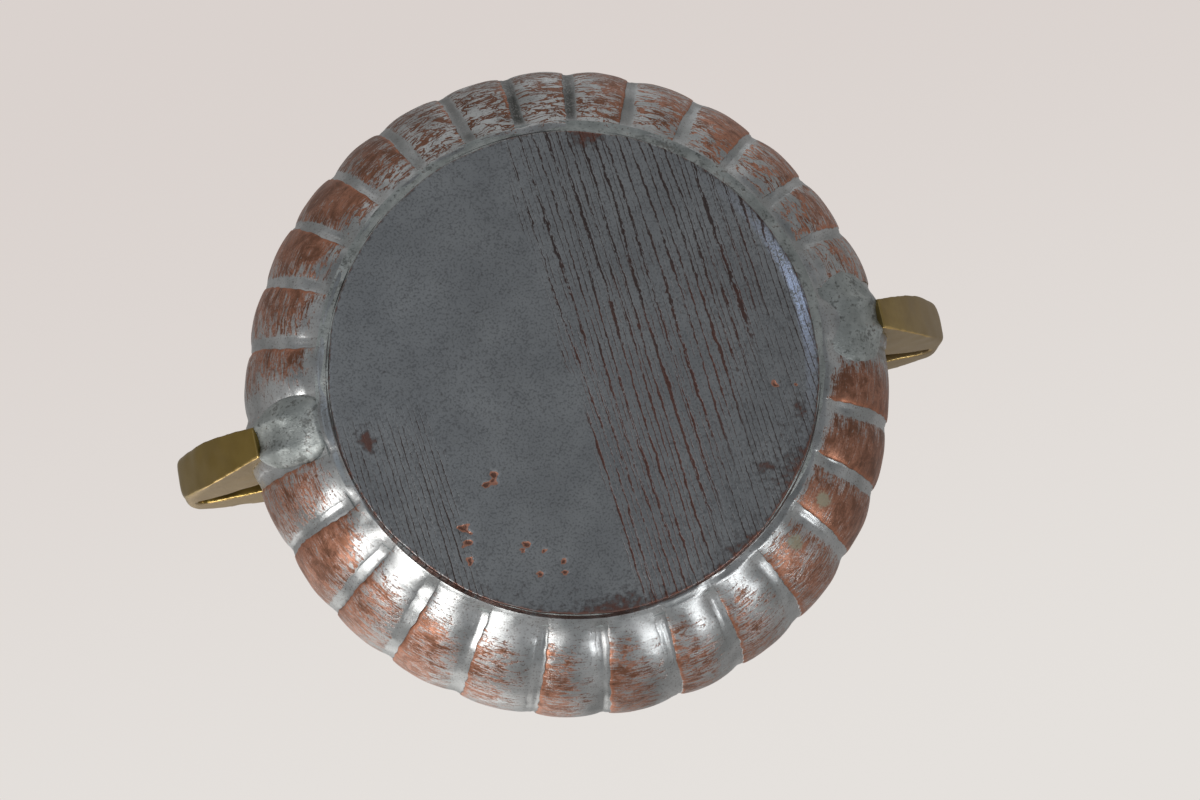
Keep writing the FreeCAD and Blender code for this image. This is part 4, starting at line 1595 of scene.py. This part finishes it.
@dataclass
class Knob:
    """The turned finial on its rosette."""

    places: int = 128

    def turned(self, name: str, node: str, outline: Sequence[tuple[float, float]]) -> None:
        """Builds and dresses a turned brass piece.

        Args:
            name: The piece's name.
            node: The node that it stands for.
            outline: Radius and height along its side, from the bottom up.
        """
        turns = np.linspace(0, FULL_TURN, self.places, endpoint=False)
        radius, height = (np.array(column) for column in zip(*outline))
        rings = about_axis(radius[:, None], turns, height[:, None])
        piece = ring_piece(name, rings, {}, loop=False, crisp=math.radians(50))
        write_marks(piece.data, {Mark.EDGE: 0.5 * ease(0.0, 0.1, convexity(piece.data, 3) / MM)})
        put(piece, CastBrass("old_brass"), Body.LID, [node])

    def finial(self) -> None:
        """The knob: foot, neck ring, bulb and tip."""
        low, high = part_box("knob")
        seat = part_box("knob_rosette")[1].z
        outline = [(3.1 * MM, low.z), (3.2 * MM, low.z + 0.9 * MM), (2.0 * MM, low.z + 1.0 * MM),
                   (2.0 * MM, seat), (5.3 * MM, seat), (5.6 * MM, seat + 0.3 * MM), (5.6 * MM, seat + 0.9 * MM)]
        outline += arc((5.4 * MM, seat + 3.2 * MM), (2.5 * MM, 2.2 * MM), np.linspace(-QUARTER_TURN, -math.pi, 9))
        outline += arc((2.9 * MM, seat + 3.9 * MM), (0.9 * MM, 0.6 * MM), np.linspace(-QUARTER_TURN, QUARTER_TURN, 9))
        outline += arc((0.0, seat + 8.9 * MM), (high.x, 4.5 * MM), np.linspace(-1.15, 1.25, 33))
        outline += arc((0.0, high.z - 1.6 * MM), (1.8 * MM, 1.6 * MM), np.linspace(-0.9, 1.5, 17))
        self.turned("knob_finial", "knob", outline)

    def rosette(self) -> None:
        """The domed disc under the finial."""
        low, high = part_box("knob_rosette")
        lip = 0.3 * MM
        outline = [(high.x - 0.2 * MM, low.z)]
        outline += arc((high.x - lip, low.z + lip), (lip, lip), np.linspace(-QUARTER_TURN, QUARTER_TURN, 7))
        for share in np.linspace(0, 1, 8):
            outline.append((high.x - 0.8 * MM - share * 5.0 * MM, low.z + (0.45 + 0.45 * share ** 0.7) * MM))
        self.turned("knob_rosette_turned", "knob_rosette", outline)

    def build(self) -> None:
        """Builds the knob and dresses its washer."""
        self.finial()
        self.rosette()
        dress_node("knob_washer", CastBrass("old_brass"))


@dataclass(frozen=True)
class Lamp:
    """A soft light: where it shines from, as seen from the bowl, and how."""

    name: str
    towards: tuple[float, float, float]
    distance: float
    width: float
    height: float
    power: float
    colour: Colour

    def build(self) -> None:
        """Adds the light, aimed at the bowl."""
        lamp = bpy.data.lights.new(self.name, "AREA")
        lamp.shape = "RECTANGLE"
        lamp.size = self.width
        lamp.size_y = self.height
        lamp.energy = self.power
        lamp.color = self.colour
        holder = bpy.data.objects.new(self.name, lamp)
        away = Vector(self.towards).normalized()
        holder.location = away * self.distance
        holder.rotation_euler = away.to_track_quat("Z", "Y").to_euler()
        bpy.context.scene.collection.objects.link(holder)


@dataclass
class Studio:
    """The pale surround, the floor and the lights."""

    pale: Colour = linear(229, 225, 221)
    pale_far: Colour = linear(218, 210, 206)
    low: Colour = (0.32, 0.32, 0.325)
    horizon: Colour = (0.44, 0.435, 0.43)
    high: Colour = (0.36, 0.35, 0.345)
    top: Colour = (0.46, 0.45, 0.44)
    dim: Colour = (0.235, 0.24, 0.25)
    backdrop_height: float = 3.0
    floor_reach: float = 3.0
    floor_drop: float = 0.3 * MM
    floor_glow: float = 0.28

    def surround(self) -> None:
        """The world: soft grey light all round, dimmer below."""
        world = bpy.data.worlds.new("surround")
        bpy.context.scene.world = world
        tree = Tree(world)
        way = tree.add("ShaderNodeTexCoord", {}, {}, "Generated")
        stops = [(0.0, self.dim), (0.15, self.dim), (0.3, self.low), (0.5, self.horizon), (0.65, self.high),
                 (0.88, self.high), (0.97, self.top)]
        sky = tree.add("ShaderNodeValToRGB", {"stops": stops}, {0: way.part("Z") * 0.5 + 0.5})
        light = tree.add("ShaderNodeBackground", {}, {"Color": sky, "Strength": 1.0})
        tree.add("ShaderNodeOutputWorld", {}, {"Surface": light})

    def sheet(self, name: str, level: float, down: bool) -> Tree:
        """A wide level sheet that only the camera sees, from one side.

        Args:
            name: The sheet's name.
            level: Its height.
            down: Whether it is seen from below.

        Returns:
            The tree of its paint, which still lacks the shader.
        """
        mesh = bpy.data.meshes.new(name)
        reach = self.floor_reach
        corners = [(-reach, -reach, level), (reach, -reach, level), (reach, reach, level), (-reach, reach, level)]
        mesh.from_pydata(corners, [], [(3, 2, 1, 0) if down else (0, 1, 2, 3)])
        sheet = new_piece(name, mesh)
        paint = bpy.data.materials.new(f"{name}_paint")
        mesh.materials.append(paint)
        sheet.visible_glossy = False
        sheet.visible_diffuse = False
        sheet.visible_shadow = False
        return Tree(paint)

    @staticmethod
    def one_sided(tree: Tree, shader: Value) -> None:
        """Ends a sheet's paint: the shader on its front, and nothing on its back.

        Args:
            tree: The paint's tree.
            shader: What its front shows.
        """
        clear = tree.add("ShaderNodeBsdfTransparent", {}, {})
        behind = tree.add("ShaderNodeNewGeometry", {}, {}, "Backfacing")
        both = tree.add("ShaderNodeMixShader", {}, {0: behind, 1: shader, 2: clear})
        tree.add("ShaderNodeOutputMaterial", {}, {"Surface": both})

    def floor(self) -> None:
        """The pale floor that the bowl stands on."""
        tree = self.sheet("floor", -self.floor_drop, down=False)
        paint = {"Base Color": (*self.pale, 1.0), "Roughness": 0.9, "Emission Color": (*self.pale, 1.0),
                 "Emission Strength": self.floor_glow}
        self.one_sided(tree, tree.add("ShaderNodeBsdfPrincipled", {}, paint))

    def backdrop(self) -> None:
        """The pale backdrop far above, which the camera below looks up at."""
        tree = self.sheet("backdrop", self.backdrop_height, down=True)
        # The glow is painted light: brighter towards -Y and dimmer towards +Y.
        glow = tree.mix(tree.place().part("Y").step(-0.3, 1.2), self.pale, self.pale_far)
        paint = {"Base Color": (0.0, 0.0, 0.0, 1.0), "Emission Color": glow, "Emission Strength": 1.0,
                 "Specular IOR Level": 0.0}
        self.one_sided(tree, tree.add("ShaderNodeBsdfPrincipled", {}, paint))

    def lights(self) -> None:
        """Windows and cards below the floor's level, a cool sky patch, and soft light from above and behind."""
        lamps = (
            Lamp("window", (0.67, -0.5, -0.55), 0.9, 0.38, 0.36, 3.3, (1.0, 0.98, 0.96)),
            Lamp("card_above", (0.0, 0.9, -0.42), 0.9, 1.3, 0.3, 0.55, (1.0, 0.98, 0.96)),
            Lamp("window_front", (-0.05, -0.85, -0.5), 0.9, 0.8, 0.22, 0.1, (0.98, 0.99, 1.0)),
            Lamp("window_far", (-0.5, -0.68, -0.53), 0.9, 0.2, 0.16, 1.25, (0.98, 0.99, 1.0)),
            Lamp("sky_patch", (0.395, 0.157, -0.905), 0.9, 0.14, 0.2, 0.14, (0.7, 0.83, 1.0)),
            Lamp("overhead", (0.5, -0.55, 0.67), 1.3, 1.1, 0.9, 3.4, (1.0, 0.98, 0.95)),
            Lamp("back_wall", (-0.3, 0.9, 0.35), 1.2, 0.8, 0.5, 0.7, (0.95, 0.97, 1.0)),
        )
        for lamp in lamps:
            lamp.build()

    def build(self) -> None:
        """Sets up the surround, the floor, the backdrop, the lights and plain colour handling."""
        self.surround()
        self.floor()
        self.backdrop()
        self.lights()
        bpy.context.scene.view_settings.view_transform = "Standard"


@dataclass
class PhotoCamera:
    """The camera under the bowl, which looks up at its base."""

    lens: float = 66.0
    tilt: float = math.radians(-9.6)
    pan: float = math.radians(-3.5)
    roll: float = math.radians(180.0 - 12.45)
    offset: tuple[float, float, float] = (-4.4 * MM, -5.6 * MM, 389.0 * MM)

    def build(self) -> None:
        """Adds the camera and makes it the scene's own."""
        turn = Matrix.Rotation(self.tilt, 3, "X") @ Matrix.Rotation(self.pan, 3, "Y")
        turn = turn @ Matrix.Rotation(self.roll, 3, "Z")
        lens_axes = Matrix.Diagonal((1.0, -1.0, -1.0)) @ turn
        camera = bpy.data.cameras.new("photo_camera")
        camera.lens = self.lens
        camera.clip_start = 10 * MM
        holder = bpy.data.objects.new("photo_camera", camera)
        holder.matrix_world = Matrix.Translation(-(turn.transposed() @ Vector(self.offset))) @ (
            lens_axes.transposed().to_4x4())
        bpy.context.scene.collection.objects.link(holder)
        bpy.context.scene.camera = holder


def main() -> None:
    """Builds the camera, the studio and every piece of the bowl and its lid."""
    logging.basicConfig(level=logging.INFO, format="%(name)s: %(message)s")
    PhotoCamera().build()
    Studio().build()
    LobedBowl().build()
    BasePlate().build()
    LoopHandles().build()
    PetalledLid().build()
    Knob().build()


if __name__ == "__main__":
    main()
